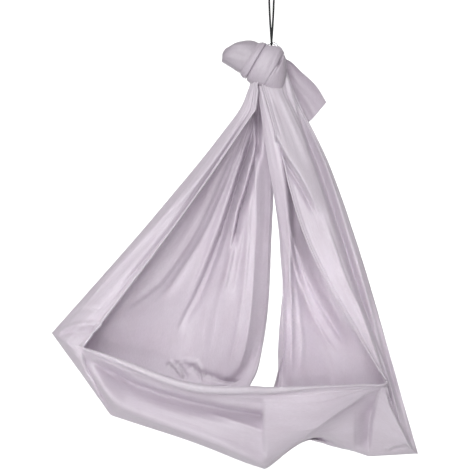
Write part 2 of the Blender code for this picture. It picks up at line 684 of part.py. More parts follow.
def make_cloth(fabric):
    """The cloth in four stretches that meet face to face, and the rolled hem of the seat's front."""
    grid, breaks = cloth_grid()
    normals = grid_normals(grid)
    square = np.array(Vector((UNDERSIDE_SLOPE, 0, 1)).normalized())
    for mouth in (0, -1):
        normals[mouth] -= (normals[mouth] @ square)[:, None] * square
        normals[mouth] /= np.linalg.norm(normals[mouth], axis=1, keepdims=True)
    stretches = (
        ("left_drape", 0, breaks[3], LEFT_CLOTH, SEAT_CLOTH),
        ("seat_left", breaks[3], breaks[6], SEAT_CLOTH, SEAT_CLOTH),
        ("seat_right", breaks[6], breaks[10], SEAT_CLOTH, PANEL_CLOTH),
        ("right_drape", breaks[10], breaks[13], PANEL_CLOTH, RIGHT_CLOTH),
    )
    for name, first, last, first_thick, last_thick in stretches:
        part = grid[first:last + 1].copy()
        for end, inner in ((0, 1), (-1, -2)):
            pull = part[inner] - part[end]
            part[end] += pull / np.linalg.norm(pull, axis=1, keepdims=True) * GAP / 2
        cloth_piece(name, part, normals[first:last + 1], fabric, first_thick, last_thick)
    make_front_hem(grid[breaks[3]:breaks[6] + 1], normals[breaks[3]:breaks[6] + 1], fabric)


def make_front_hem(grid, normals, fabric):
    """The rolled hem on the seat's front edge, slotted where the cloth runs into it."""
    edge, inside = grid[:, -1].copy(), grid[:, -2].copy()
    start = (edge[1] - edge[0]) * HEM_ROLL_RADIUS / np.linalg.norm(edge[1] - edge[0])
    edge[0] += start
    inside[0] += start
    along = np.gradient(edge, axis=0)
    along /= np.linalg.norm(along, axis=1, keepdims=True)
    outward = edge - inside
    outward -= along * (outward * along).sum(axis=1, keepdims=True)
    outward /= np.linalg.norm(outward, axis=1, keepdims=True)
    share = np.linspace(0, 1, len(edge))[:, None]
    radii = HEM_ROLL_RADIUS * (HEM_START + (1 - HEM_START) * np.sqrt(share))
    hem = swept("front_hem", edge + outward * (radii - HEM_SLOT), radii[:, 0], fabric)
    border = grid[:, -5:].copy()
    border[:, -1] += outward * GAP
    border[0] += border[0] - border[1]
    border[-1] += border[-1] - border[-2]
    combine(hem, cloth_piece("hem_slot", border, normals[:, -5:], fabric, SEAT_CLOTH + 2 * GAP), "DIFFERENCE")


def tilted(along, height, depth):
    """A place on the knot from its own axes: along the barrel, up from it and back."""
    cos, sin = math.cos(KNOT_TILT), math.sin(KNOT_TILT)
    centre = Vector((-KNOT_LEFT, KNOT_BACK, RING_PIVOT - KNOT_DROP))
    return centre + Vector((along * cos + height * sin, depth, -along * sin + height * cos))


def knot_ring(along, middle, height, depth, lean, sides=SIDES):
    """One ring round the knot's axis, its lower side further along by its lean."""
    ring = []
    for k in range(sides):
        turn = math.tau * k / sides
        up = KNOT_HEIGHT * (middle + height / 2 * math.sin(turn))
        ring.append(tilted(along - lean * up, up, KNOT_DEPTH * depth / 2 * math.cos(turn)))
    return ring


def make_knot(fabric):
    """The wrapped barrel, the roll that sticks out of its left, and the free end behind its right."""
    rings = []
    for share, middle, height, depth in WRAP_RINGS:
        lean = KNOT_END_LEAN * max(0, 2 * share - 1)
        rings.append(knot_ring(KNOT_LENGTH * (share - 0.5), middle, height, depth, lean))
    wraps = lofted("knot_wraps", rings, fabric)
    reach = 2 * KNOT_HEIGHT
    underside = block("underside_cut", (-reach, -reach, -reach), (reach, reach, 0), fabric)
    underside.location = (0, 0, RING_PIVOT - UNDERSIDE_DROP)
    underside.rotation_euler = (0, math.atan(UNDERSIDE_SLOPE), 0)
    combine(wraps, underside, "DIFFERENCE")
    circle = arc((0, 0, RING_CENTRE), RING_RADIUS, 90, 450, LOOP_STEPS, "XZ")[:-1]
    hollow = swept("ring_seat", circle, RING_BAR + 2 * GAP, fabric, closed=True)
    combine(wraps, hollow, "DIFFERENCE")
    pocket = cylinder(
        "cord_pocket",
        CORD_POCKET_RADIUS,
        (-CORD_POCKET_HALF_WIDTH, 0, RING_PIVOT),
        (CORD_POCKET_HALF_WIDTH, 0, RING_PIVOT),
        fabric,
    )
    combine(wraps, pocket, "DIFFERENCE")

    start = -KNOT_LENGTH / 2 - GAP
    rings = []
    for share, middle, height, depth, lean in ROLL_RINGS:
        rings.append(knot_ring(start - ROLL_LENGTH * share, middle, height, depth, lean))
    lofted("knot_roll", rings, fabric)


def make_tail(fabric):
    """The cloth's free end, a pleated flap that comes out of the knot behind its right."""
    rows = np.array(TAIL_ROWS, float) * TAIL_UNIT
    rows[..., 2] = RING_PIVOT - rows[..., 2]
    counts = [TAIL_STEPS] * (rows.shape[0] - 1)
    lines = np.stack([smooth_line(rows[:, j], counts) for j in range(rows.shape[1])], axis=1)
    grid = np.array([smooth_line(row, [TAIL_STEPS] * (rows.shape[1] - 1)) for row in lines])
    normals = grid_normals(grid)
    cloth_piece("free_end", grid, normals, fabric, TAIL_CLOTH)
    back = grid[0] - grid[1]
    grid[0] += back / np.linalg.norm(back, axis=1, keepdims=True) * GAP
    across = grid[:, 0] - grid[:, -1]
    across *= GAP / np.linalg.norm(across, axis=1, keepdims=True)
    grid[:, 0] += across
    grid[:, -1] -= across
    seat = cloth_piece("free_end_seat", grid, normals, fabric, TAIL_CLOTH + 2 * GAP)
    combine(bpy.data.objects["knot_wraps"], seat, "DIFFERENCE")


def hang(axis_name, pivot, parent, names):
    """Puts an empty on a joint's axis and hangs the pieces that turn there, with their cutters, on it."""
    axis = bpy.data.objects.new(axis_name, None)
    axis.empty_display_size = AXIS_MARK
    bpy.context.scene.collection.objects.link(axis)
    axis.parent = parent
    axis.location = Vector(pivot) - (parent.matrix_world.translation if parent else Vector())
    bpy.context.view_layer.update()
    for name in names:
        piece = bpy.data.objects[name]
        cutters = [change.object for change in piece.modifiers if change.type == "BOOLEAN"]
        for thing in [piece] + cutters:
            thing.parent = axis
            thing.matrix_parent_inverse = Matrix.Translation(-Vector(pivot))
    return axis


def hang_moving_pieces():
    """The chain of joints from the swivel down to the sling."""
    turning = ["swivel_eye", "swivel_nut", "upper_race", "ball_cage"]
    swivel = hang("swivel_turn_axis", (0, 0, CUP_UNDER), None, turning)
    karabiner = hang("karabiner_swing_axis", (0, 0, EYE_PIVOT), swivel, ["karabiner_frame", "gate_pin"])
    gate = ["karabiner_gate", "gate_plunger", "gate_spring"]
    hang("gate_open_axis", (0, OVAL_HALF_WIDTH, GATE_PIN), karabiner, gate)
    cord = hang("cord_swing_axis", (0, 0, LOOP_PIVOT), karabiner, ["hanging_cord", "cord_sleeve"])
    sling = ["sling_ring", "knot_wraps", "knot_roll", "free_end", "front_hem"]
    sling += ["left_drape", "seat_left", "seat_right", "right_drape"]
    hang("ring_rock_axis", (0, 0, RING_PIVOT), cord, sling)


def main():
    for thing in list(bpy.data.objects):
        bpy.data.objects.remove(thing)
    steel = principled("brushed_steel", (0.60, 0.60, 0.61), 1.0, 0.35)
    dark_steel = principled("bearing_steel", (0.42, 0.42, 0.44), 1.0, 0.3)
    chrome = principled("chrome", (0.80, 0.80, 0.82), 1.0, 0.12)
    black = principled("black_cord", (0.012, 0.012, 0.014), 0.0, 0.75)
    fabric = principled("lilac_tricot", (0.60, 0.53, 0.62), 0.0, 0.6)
    make_ceiling_plate(steel)
    make_swivel(steel, dark_steel)
    make_karabiner(chrome, dark_steel)
    make_cord(black, dark_steel)
    ring = arc((0, 0, RING_CENTRE), RING_RADIUS, 90, 450, LOOP_STEPS, "XZ")[:-1]
    swept("sling_ring", ring, RING_BAR, chrome, closed=True)
    make_knot(fabric)
    make_tail(fabric)
    make_cloth(fabric)
    hang_moving_pieces()


main()
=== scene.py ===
import math

import bmesh
import bpy
import numpy as np
from bpy.props import FloatProperty, FloatVectorProperty, IntProperty, PointerProperty
from bpy.types import Operator, Panel, PropertyGroup
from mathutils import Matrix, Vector


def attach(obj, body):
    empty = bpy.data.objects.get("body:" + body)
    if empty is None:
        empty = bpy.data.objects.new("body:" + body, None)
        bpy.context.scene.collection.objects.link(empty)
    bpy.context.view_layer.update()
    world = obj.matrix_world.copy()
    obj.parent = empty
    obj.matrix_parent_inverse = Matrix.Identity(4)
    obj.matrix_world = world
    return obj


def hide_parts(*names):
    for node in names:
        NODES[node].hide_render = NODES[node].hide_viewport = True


bl_info = {
    "name": "Aerial yoga hammock",
    "version": (1, 0, 0),
    "blender": (4, 5, 0),
    "location": "3D Viewport > Sidebar > Hammock",
    "description": "Dresses the hammock's frame in knitted cloth, braided cord and polished fittings",
    "category": "Add Mesh",
}

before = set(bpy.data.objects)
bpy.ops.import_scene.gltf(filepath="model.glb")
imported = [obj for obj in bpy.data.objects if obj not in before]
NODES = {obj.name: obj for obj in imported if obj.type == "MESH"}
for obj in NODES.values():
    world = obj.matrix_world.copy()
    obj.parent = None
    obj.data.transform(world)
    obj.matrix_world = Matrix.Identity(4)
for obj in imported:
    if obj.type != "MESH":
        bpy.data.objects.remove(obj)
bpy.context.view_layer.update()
# One millimetre in metres
MM = 0.001

# The level of the ring's bar under the ceiling and its radius, and the same for the karabiner's bar,
# in metres
RING_PIVOT = -0.4113
RING_BAR = 0.005
LOOP_PIVOT = -0.1573
KARABINER_BAR = 0.005
# The cord's gap to what it goes over, its sleeve's drop, and where its strands begin to turn, in metres
CORD_GAP = 0.0003
SLEEVE_DROP = 0.036
TWIST_START = 0.058
# The drop and slope of the knot's underside, and how far forward the cloth comes for each metre below it
UNDERSIDE_DROP = 0.1883
UNDERSIDE_SLOPE = 0.354
FORWARD_LEAN = 0.027

# Where the picture is taken from: straight ahead, level with the middle of the cloth
EYE = Vector((-0.146, -5.0, -1.18))

# Sections of the cloth from the back edge, round the outside, to the front edge, in millimetres:
# across, depth, and down from the ring's bar
SECTIONS = [
    [
        (-38, 30), (-50, 42), (-58, 30), (-65, 39), (-72, 28), (-79, 14),
        (-82, -2), (-78, -18), (-72, -30), (-64, -34), (-56, -38),
    ],
    [
        (-14, 62, 290), (-46, 60, 285), (-60, 46, 280), (-72, 64, 275), (-86, 46, 268), (-108, 24, 262),
        (-121, 0, 258), (-112, -24, 262), (-98, -36, 266), (-82, -42, 270), (-66, -46, 272),
    ],
    [
        (6, 96, 417), (-60, 46, 411), (-74, 52, 393), (-100, 72, 384), (-124, 50, 366), (-168, 28, 355),
        (-190, 2, 353), (-180, -26, 359), (-164, -42, 368), (-146, -44, 376), (-130, -56, 373),
    ],
    [
        (4, 128, 780), (-64, 62, 772), (-126, 76, 732), (-200, 116, 714), (-268, 78, 674), (-384, 50, 650),
        (-426, 8, 648), (-404, -38, 660), (-376, -62, 678), (-352, -60, 692), (-336, -78, 678),
    ],
    [
        (-34, 138, 1220), (-128, 104, 1302), (-238, 136, 1362), (-390, 155, 1350), (-648, 95, 1254),
        (-820, 38, 1192), (-874, -10, 1158), (-846, -50, 1168), (-816, -78, 1182), (-774, -98, 1194),
        (-736, -112, 1204),
    ],
    [
        (-62, 122, 1330), (-158, 138, 1378), (-250, 138, 1446), (-392, 114, 1496), (-532, 70, 1494),
        (-608, 28, 1492), (-636, -15, 1482), (-660, -62, 1428), (-654, -104, 1362), (-600, -132, 1306),
        (-534, -142, 1284),
    ],
    [
        (-94, 120, 1404), (-142, 128, 1458), (-176, 116, 1518), (-234, 86, 1562), (-280, 52, 1580),
        (-326, 20, 1580), (-358, -18, 1570), (-362, -75, 1516), (-352, -112, 1448), (-320, -150, 1392),
        (-282, -158, 1354),
    ],
    [
        (-56, 118, 1462), (-64, 114, 1528), (-44, 92, 1590), (-36, 62, 1642), (-34, 30, 1678),
        (-30, 0, 1696), (-30, -30, 1694), (-32, -80, 1634), (-36, -120, 1530), (-42, -154, 1416),
        (-42, -160, 1367),
    ],
    [
        (-24, 116, 1448), (6, 120, 1526), (58, 118, 1574), (112, 110, 1594), (160, 96, 1596),
        (190, 72, 1594), (204, 40, 1586), (200, -30, 1560), (186, -110, 1512), (188, -140, 1418),
        (192, -148, 1354),
    ],
    [
        (-2, 116, 1426), (46, 124, 1502), (120, 130, 1568), (202, 130, 1605), (276, 118, 1632),
        (318, 96, 1640), (336, 66, 1636), (334, 0, 1548), (330, -80, 1422), (332, -98, 1380),
        (336, -106, 1352),
    ],
    [
        (10, 116, 1402), (54, 126, 1448), (130, 134, 1504), (254, 142, 1574), (352, 136, 1634),
        (390, 112, 1660), (394, 80, 1660), (400, 15, 1530), (416, -45, 1398), (430, -62, 1368),
        (442, -72, 1348),
    ],
    [
        (16, 116, 1386), (42, 128, 1392), (84, 122, 1400), (266, 138, 1414), (416, 128, 1494),
        (534, 84, 1586), (584, 20, 1640), (548, -20, 1608), (494, -25, 1484), (456, -52, 1374),
        (444, -62, 1344),
    ],
    [
        (34, 84, 808), (48, 30, 800), (72, 8, 790), (102, 62, 788), (216, 84, 788), (302, 44, 788),
        (334, 2, 788), (310, -38, 788), (276, -28, 768), (240, -66, 756), (114, -72, 732),
    ],
    [
        (2, 34, 490), (-14, -30, 484), (34, -52, 480), (66, -16, 478), (118, 54, 478), (188, 36, 478),
        (228, 2, 478), (208, -30, 476), (180, -20, 468), (150, -56, 462), (36, -60, 452),
    ],
    [
        (-34, 10), (-58, -20), (-46, -26), (-18, 0), (24, 34), (76, 28),
        (102, 6), (88, -20), (66, -10), (36, -30), (-38, -36),
    ],
]
# Where the cloth goes on to from each mouth, inside the knot and behind its right side
LEFT_TOP = [
    (-36, 24, 140), (-44, 30, 138), (-50, 24, 136), (-56, 28, 134), (-60, 20, 132), (-63, 8, 130),
    (-64, -2, 130), (-62, -12, 132), (-58, -20, 134), (-50, -24, 138), (-42, -28, 142),
]
RIGHT_TOP = [
    (-24, 8, 150), (-42, -10, 150), (-34, -16, 150), (-12, 0, 140), (24, 28, 120), (46, 26, 98),
    (54, 14, 96), (54, 0, 100), (46, -6, 108), (30, -16, 150), (-26, -22, 160),
]
TOP_ROWS = 8

# Rows of mesh from each section to the next
ROW_STEPS = [12, 12, 32, 62, 34, 32, 26, 26, 16, 16, 24, 56, 34, 20]
# Columns of mesh from each line of the cloth to the next, closest where the folds are finest
LINE_STEPS = [22, 24, 34, 40, 28, 18, 16, 18, 28, 40]
LINE_STARTS = [sum(LINE_STEPS[:j]) for j in range(len(LINE_STEPS) + 1)]
# How sharply each line of the cloth turns at a section, from 0 for smooth to 1 for a crease
CORNERS = {
    1: [0, 0, 0, 0, 0, 0, 0, 0, 0.3, 0.7, 0.9],
    4: [0, 0, 0, 0.2, 0.5, 0.8, 1, 1, 1, 1, 1],
    5: [0, 0, 0, 0, 0.3, 0.7, 1, 1, 0.6, 0.3, 0.2],
    7: [0, 0, 0, 0, 0.2, 0.6, 1, 1, 1, 1, 0.5],
    10: [0, 0, 0, 0, 0.2, 0.8, 1, 0.8, 0.6, 0.3, 0.5],
    11: [0, 0, 0, 0.2, 0.5, 0.8, 1, 1, 1, 1, 1],
}
# How sharply the cloth is creased along one of its lines, at each section
CREASES = {
    1: [0, 0.6, 1, 1, 1, 0.5, 0, 0, 0, 0, 0, 0, 0.3, 0.3, 0],
    2: [0, 0, 0, 0, 0, 0, 0, 0, 0, 0, 0, 0, 0.5, 0.5, 0],
    6: [0, 0, 0, 0.3, 0.8, 0.4, 0, 0.6, 0.3, 0.5, 0.8, 1, 0.3, 0, 0],
    8: [0, 0, 0, 0, 0, 0, 0, 0, 1, 1, 0.8, 0, 0.2, 0.2, 0],
    9: [0, 0, 0, 0, 0, 0, 0, 0, 0, 0, 0, 0.4, 0.7, 0.6, 0.3],
}
# The radius of the front hem's roll at each section and of the back's, in millimetres, and their columns
HEM_ROLL = [3, 3, 3, 3.5, 6, 14, 18, 15, 5, 4, 4, 4, 3.5, 3, 3]
HEM_STEPS = 16
BACK_ROLL = 3
BACK_STEPS = 8
# How many turns each hem curls through, and by what share it tightens on the way
HEM_TURNS = 1.2
HEM_TIGHTENING = 0.16
# How far back and forward the folds may stand before they are eased, and over how much, in metres
BACK_REACH = 0.138
FRONT_REACH = -0.195
EASE = 0.012
# The sewn hem along each edge, in metres: its width, how much thicker it is, the groove that its seam
# draws, and how far its stitches are from the edge
HEM_WIDTH = 0.018
HEM_LIFT = 0.0012
SEAM_DEPTH = 0.0022
SEAM_WIDTH = 0.0035
STITCHES_FROM_EDGE = 0.02

# Folds that show in the cloth: the stretch of sections and of lines that they lie in, how far they
# stand out towards the front, how wide they are on the left and on the right of their course, and the
# course as across and down on the plane of the cord, all in millimetres
FOLDS = [
    ((0, 5), (0.7, 5.6), 18, 36, 12, [
        (-86, 369), (-138, 429), (-186, 489), (-238, 609), (-286, 717), (-334, 801), (-386, 877),
        (-446, 957), (-526, 1021), (-598, 1065),
    ]),
    ((0, 5), (0.7, 5.6), -15, 10, 22, [
        (-142, 489), (-198, 609), (-246, 717), (-290, 801), (-338, 877), (-398, 969), (-462, 1037),
    ]),
    ((0, 5), (0.7, 5.0), 14, 14, 8, [
        (-94, 389), (-134, 501), (-174, 621), (-210, 729), (-250, 837), (-290, 937), (-330, 1021),
    ]),
    ((0, 5), (0.7, 5.0), -70, 7, 18, [
        (-54, 285), (-94, 421), (-128, 525), (-164, 641), (-198, 749), (-234, 849), (-274, 949),
        (-306, 1021), (-338, 1077), (-370, 1141),
    ]),
    ((0, 4), (0.7, 4.0), -56, 7, 15, [
        (-42, 341), (-46, 397), (-68, 481), (-98, 589), (-128, 677), (-146, 769), (-162, 837),
    ]),
    ((0, 4), (0.7, 4.0), 14, 14, 9, [
        (-114, 649), (-146, 769), (-162, 849), (-178, 929), (-198, 1009),
    ]),
    ((0, 4), (0.7, 4.0), -9, 8, 18, [
        (-102, 729), (-130, 877), (-150, 1009),
    ]),
    ((0, 4), (0.7, 3.0), 8, 12, 8, [
        (-74, 489), (-90, 669), (-98, 829), (-110, 989), (-134, 1149), (-166, 1277),
    ]),
    ((0, 3), (0.5, 4.0), -60, 12, 16, [
        (-58, 241), (-50, 349), (-54, 477),
    ]),
    ((0, 5), (5.6, 10), 13, 18, 16, [
        (-86, 229), (-146, 349), (-226, 469), (-326, 589), (-406, 669), (-486, 749), (-566, 829),
        (-646, 917), (-734, 1021),
    ]),
    ((0, 4), (7.0, 10), -7, 9, 4, [
        (-78, 277), (-142, 377), (-202, 457), (-262, 549), (-322, 637), (-382, 717), (-442, 793),
        (-506, 869), (-574, 949), (-646, 1049),
    ]),
    ((3, 6), (5.6, 10), 14, 12, 5, [
        (-858, 1153), (-786, 1125), (-706, 1121), (-674, 1137),
    ]),
    ((3, 6), (5.6, 10), -14, 6, 14, [
        (-854, 1169), (-786, 1161), (-726, 1157), (-690, 1165),
    ]),
    ((3, 5), (5.6, 10), -6, 10, 8, [
        (-822, 1093), (-758, 1065), (-686, 1069),
    ]),
    ((4, 7), (7.6, 10), 26, 20, 24, [
        (-766, 1225), (-686, 1261), (-566, 1305), (-446, 1341), (-326, 1369), (-186, 1393),
        (-86, 1405), (-22, 1409),
    ]),
    ((5, 7), (5.0, 9.5), -22, 80, 3, [
        (-42, 1309), (-38, 1429), (-34, 1549), (-26, 1729), (-26, 1789),
    ]),
    ((4, 7), (5.8, 10), -80, 32, 22, [
        (-750, 1241), (-702, 1285), (-646, 1325), (-566, 1369), (-446, 1413), (-326, 1445),
        (-186, 1477), (-38, 1501), (114, 1525),
    ]),
    ((4, 7), (5.0, 10), 42, 24, 30, [
        (-734, 1269), (-710, 1329), (-670, 1389), (-602, 1449), (-514, 1489), (-422, 1521),
        (-318, 1557), (-210, 1597), (-126, 1637), (-38, 1673), (74, 1713),
    ]),
    ((4, 6), (5.0, 10), -24, 4, 20, [
        (-758, 1237), (-738, 1309), (-686, 1405), (-646, 1469),
    ]),
    ((5, 7), (5.8, 10), 9, 9, 7, [
        (-266, 1477), (-186, 1497), (-106, 1525), (-38, 1553), (74, 1589),
    ]),
    ((4, 6), (5.8, 10), 6, 8, 8, [
        (-734, 1241), (-678, 1285), (-614, 1341), (-558, 1397),
    ]),
    ((4, 6), (5.0, 10), -6, 9, 9, [
        (-814, 1229), (-750, 1317), (-694, 1393), (-646, 1445),
    ]),
    ((3, 5), (1.0, 4.4), -18, 4, 4, [
        (-422, 1277), (-394, 1305), (-366, 1341),
    ]),
    ((3, 5), (1.0, 4.4), 12, 4, 4, [
        (-406, 1273), (-378, 1301), (-350, 1341),
    ]),
    ((3, 5), (1.0, 4.4), -18, 4, 4, [
        (-390, 1273), (-362, 1301), (-334, 1345),
    ]),
    ((3, 5), (1.0, 4.4), 12, 5, 3, [
        (-358, 1269), (-322, 1271), (-294, 1281), (-278, 1309), (-270, 1349),
    ]),
    ((3, 5), (1.0, 4.4), -20, 7, 2.5, [
        (-342, 1297), (-314, 1297), (-290, 1317), (-274, 1353),
    ]),
    ((3, 5), (0.5, 3.4), -22, 5, 12, [
        (-302, 1313), (-262, 1333), (-198, 1353), (-106, 1369),
    ]),
    ((11, 14), (6, 10), -34, 9, 28, [
        (62, 117), (74, 169), (102, 229), (122, 309), (142, 369), (158, 429), (182, 489), (202, 549),
        (234, 629), (262, 709), (294, 809), (326, 929), (362, 1029), (398, 1117), (434, 1209),
        (474, 1309), (502, 1409), (530, 1529), (562, 1613),
    ]),
    ((11, 13), (8, 10), 11, 14, 5, [
        (218, 717), (282, 909), (314, 989), (346, 1049), (374, 1109), (402, 1189), (434, 1257),
        (458, 1349),
    ]),
    ((12, 14), (7.6, 10), 24, 3, 40, [
        (-50, 181), (-26, 257), (10, 353), (58, 449), (114, 533), (154, 609), (190, 685),
    ]),
    ((12, 14), (8, 10), -24, 12, 3, [
        (-38, 245), (14, 381), (34, 425), (70, 497), (114, 565), (150, 633), (178, 697),
    ]),
    ((13, 14), (8, 10), 6, 20, 20, [
        (-6, 197), (54, 241), (102, 277),
    ]),
    ((12, 13), (8, 10), 6, 10, 14, [
        (82, 689), (134, 809), (186, 929), (234, 1029), (294, 1129),
    ]),
    ((10, 13), (0, 6), 24, 7, 30, [
        (70, 729), (126, 901), (154, 969), (194, 1049), (234, 1117), (302, 1217),
    ]),
    ((10, 13), (0, 6), -12, 16, 6, [
        (58, 789), (102, 949), (138, 1029), (178, 1117), (226, 1197), (282, 1269),
    ]),
    ((10, 13), (1, 6), 5, 9, 9, [
        (98, 929), (114, 1109), (126, 1209), (114, 1317),
    ]),
    ((10, 13), (0, 4), 10, 5, 12, [
        (54, 769), (70, 877), (78, 1029), (78, 1189), (74, 1365),
    ]),
    ((10, 13), (0, 3), -10, 4, 5, [
        (46, 877), (52, 1029), (52, 1189), (42, 1369),
    ]),
    ((7, 10), (4.4, 9), -52, 56, 4, [
        (-14, 1697), (62, 1641), (138, 1583), (278, 1481), (390, 1407), (446, 1373),
    ]),
    ((9, 11), (4, 8), -42, 48, 4, [
        (430, 1381), (398, 1509), (388, 1637),
    ]),
    ((10, 12), (6, 9), -28, 4, 18, [
        (458, 1373), (478, 1449), (518, 1529), (574, 1633),
    ]),
    ((10, 11), (5, 8), 10, 7, 7, [
        (454, 1629), (486, 1613), (522, 1601),
    ]),
    ((10, 11), (5, 8), -10, 6, 6, [
        (474, 1629), (514, 1619), (558, 1617),
    ]),
]


class HammockCloth(PropertyGroup):
    """Sizes and colours of the cloth."""

    width: FloatProperty(
        name="Cloth width", description="Width of the cloth before it is hung", default=0.92, unit="LENGTH"
    )
    length: FloatProperty(
        name="Cloth length",
        description="Length of the cloth between the two ends of the knot",
        default=4.2,
        unit="LENGTH",
    )
    thickness: FloatProperty(
        name="Cloth thickness", description="Thickness of the knitted cloth", default=0.0012, unit="LENGTH"
    )
    pleat_depth: FloatProperty(
        name="Pleat depth",
        description="How deep the soft pleats of the drapes are",
        default=0.0014,
        unit="LENGTH",
    )
    pleats: IntProperty(name="Pleats", description="Soft pleats across each drape", default=9)
    # The lit colour is that of the cloth's paler blotches, which lie at random
    light_colour: FloatVectorProperty(
        name="Cloth, lit",
        description="Colour of the cloth's raised parts",
        subtype="COLOR",
        default=(0.632, 0.568, 0.642),
    )
    # The deep colour is that of the darker blotches, which lie at random, and it is painted along the stitch
    # rows as shade in their seam's groove
    deep_colour: FloatVectorProperty(
        name="Cloth, deep",
        description="Colour of the cloth's hollows",
        subtype="COLOR",
        default=(0.54, 0.462, 0.53),
    )


class HammockFittings(PropertyGroup):
    """Sizes and colours of the cord and the fittings."""

    cord_diameter: FloatProperty(
        name="Cord diameter", description="Diameter of the braided cord", default=0.008, unit="LENGTH"
    )
    cord_length: FloatProperty(
        name="Cord length", description="Length of the cord in the loop", default=0.57, unit="LENGTH"
    )
    cord_colour: FloatVectorProperty(
        name="Cord", description="Colour of the braided cord", subtype="COLOR", default=(0.012, 0.012, 0.014)
    )
    chrome_colour: FloatVectorProperty(
        name="Chrome",
        description="Colour of the ring and karabiner",
        subtype="COLOR",
        default=(0.52, 0.53, 0.55),
    )
    steel_colour: FloatVectorProperty(
        name="Steel",
        description="Colour of the ceiling plate and swivel",
        subtype="COLOR",
        default=(0.56, 0.56, 0.58),
    )


class HammockStage(PropertyGroup):
    """The camera and the floor."""

    lens: FloatProperty(name="Lens", description="Focal length of the camera", default=95.74, unit="CAMERA")
    floor_level: FloatProperty(
        name="Floor level", description="Height of the floor under the ceiling", default=-3.05, unit="LENGTH"
    )
    floor_colour: FloatVectorProperty(
        name="Floor",
        description="Colour of the floor and backdrop",
        subtype="COLOR",
        default=(0.93, 0.93, 0.93),
    )


# Shader building

def new_group(name, inputs, outputs):
    """A node group with number sockets of these names, and its own two ends."""
    group = bpy.data.node_groups.new(name, "ShaderNodeTree")
    for label, value in inputs.items():
        made = group.interface.new_socket(label, in_out="INPUT", socket_type="NodeSocketFloat")
        made.default_value = value
    for label in outputs:
        group.interface.new_socket(label, in_out="OUTPUT", socket_type="NodeSocketFloat")
    return group, add_node(group, "NodeGroupInput").outputs, add_node(group, "NodeGroupOutput").inputs


def add_node(tree, kind, inputs=None, **settings):
    """One shader node, with its settings and its inputs linked or set."""
    made = tree.nodes.new(kind)
    for key, value in settings.items():
        setattr(made, key, value)
    for key, value in (inputs or {}).items():
        if isinstance(value, bpy.types.NodeSocket):
            tree.links.new(value, made.inputs[key])
        else:
            made.inputs[key].default_value = value
    return made


def maths(tree, operation, *values):
    """The result of one sum."""
    return add_node(tree, "ShaderNodeMath", dict(enumerate(values)), operation=operation).outputs[0]


def vector(tree, *values):
    """Three values as one vector or colour."""
    return add_node(tree, "ShaderNodeCombineXYZ", dict(enumerate(values))).outputs[0]


def ranged(tree, value, low, high, start, end):
    """A value carried over from one range to another."""
    limits = {0: value, 1: low, 2: high, 3: start, 4: end}
    return add_node(tree, "ShaderNodeMapRange", limits).outputs[0]


def noise(tree, place, scale, detail, roughness=0.5):
    """Soft noise at a place."""
    looks = {"Vector": place, "Scale": scale, "Detail": detail, "Roughness": roughness}
    return add_node(tree, "ShaderNodeTexNoise", looks).outputs[0]


def mixed(tree, share, first, second, blend="MIX"):
    """Two colours mixed by a share."""
    colours = [c if isinstance(c, bpy.types.NodeSocket) else (*c, 1.0) for c in (first, second)]
    inputs = {0: share, 6: colours[0], 7: colours[1]}
    return add_node(tree, "ShaderNodeMix", inputs, data_type="RGBA", blend_type=blend).outputs[2]


def knit_group():
    """Fine warp knit: ribs along the cloth with small loops across them, as a height and a tint that paints
    shade, darker where the knit dips.
    """
    inputs = {"Across": 0.0, "Along": 0.0, "Pitch": 0.0011}
    group, start, end = new_group("tricot_knit", inputs, ("Height", "Tint"))
    turn = maths(group, "DIVIDE", math.tau, start["Pitch"])
    wave = maths(group, "MULTIPLY", start["Across"], maths(group, "MULTIPLY", turn, 0.5))
    ribs = maths(group, "ABSOLUTE", maths(group, "SINE", wave))
    rise = maths(group, "MULTIPLY", ribs, 1.2)
    lean = maths(group, "ADD", maths(group, "MULTIPLY", start["Along"], turn), rise)
    loops = maths(group, "MULTIPLY_ADD", maths(group, "SINE", lean), 0.25, 0.75)
    height = maths(group, "MULTIPLY", ribs, loops)
    group.links.new(height, end["Height"])
    # The tint is painted shade: lower where the knit's height is low
    group.links.new(maths(group, "MULTIPLY_ADD", height, 0.16, 0.88), end["Tint"])
    return group


def crumple_group():
    """Slow unevenness of cloth: soft streaks along it and blotches, as a height and a mask."""
    inputs = {"Across": 0.0, "Along": 0.0, "Size": 0.05}
    group, start, end = new_group("cloth_unevenness", inputs, ("Height", "Mask"))
    # Each output with how wide and long its noise is, in sizes, and its shift, detail and roughness
    for label, wide, long, shift, detail, roughness in (
        ("Height", 1.0, 4.5, 0.0, 3.0, 0.55),
        ("Mask", 3.0, 4.0, 4.2, 2.0, 0.5),
    ):
        place = vector(
            group,
            maths(group, "DIVIDE", start["Across"], maths(group, "MULTIPLY", start["Size"], wide)),
            maths(group, "DIVIDE", start["Along"], maths(group, "MULTIPLY", start["Size"], long)),
            shift,
        )
        group.links.new(noise(group, place, 1.0, detail, roughness), end[label])
    return group


def stitch_group():
    """A row of stitches at one distance from an edge, as a mask, along which the cloth paints shade, and a
    height.
    """
    inputs = {"Across": 0.0, "Along": 0.0, "From edge": 0.02, "Width": 0.0008, "Length": 0.0035}
    group, start, end = new_group("stitch_row", inputs, ("Mask", "Height"))
    off = maths(group, "ABSOLUTE", maths(group, "SUBTRACT", start["Across"], start["From edge"]))
    line = maths(group, "SUBTRACT", 1.0, maths(group, "DIVIDE", off, start["Width"]))
    line = add_node(group, "ShaderNodeClamp", {0: line}).outputs[0]
    step = maths(group, "FRACT", maths(group, "DIVIDE", start["Along"], start["Length"]))
    mask = maths(group, "MULTIPLY", line, maths(group, "LESS_THAN", step, 0.72))
    group.links.new(mask, end["Mask"])
    group.links.new(mask, end["Height"])
    return group


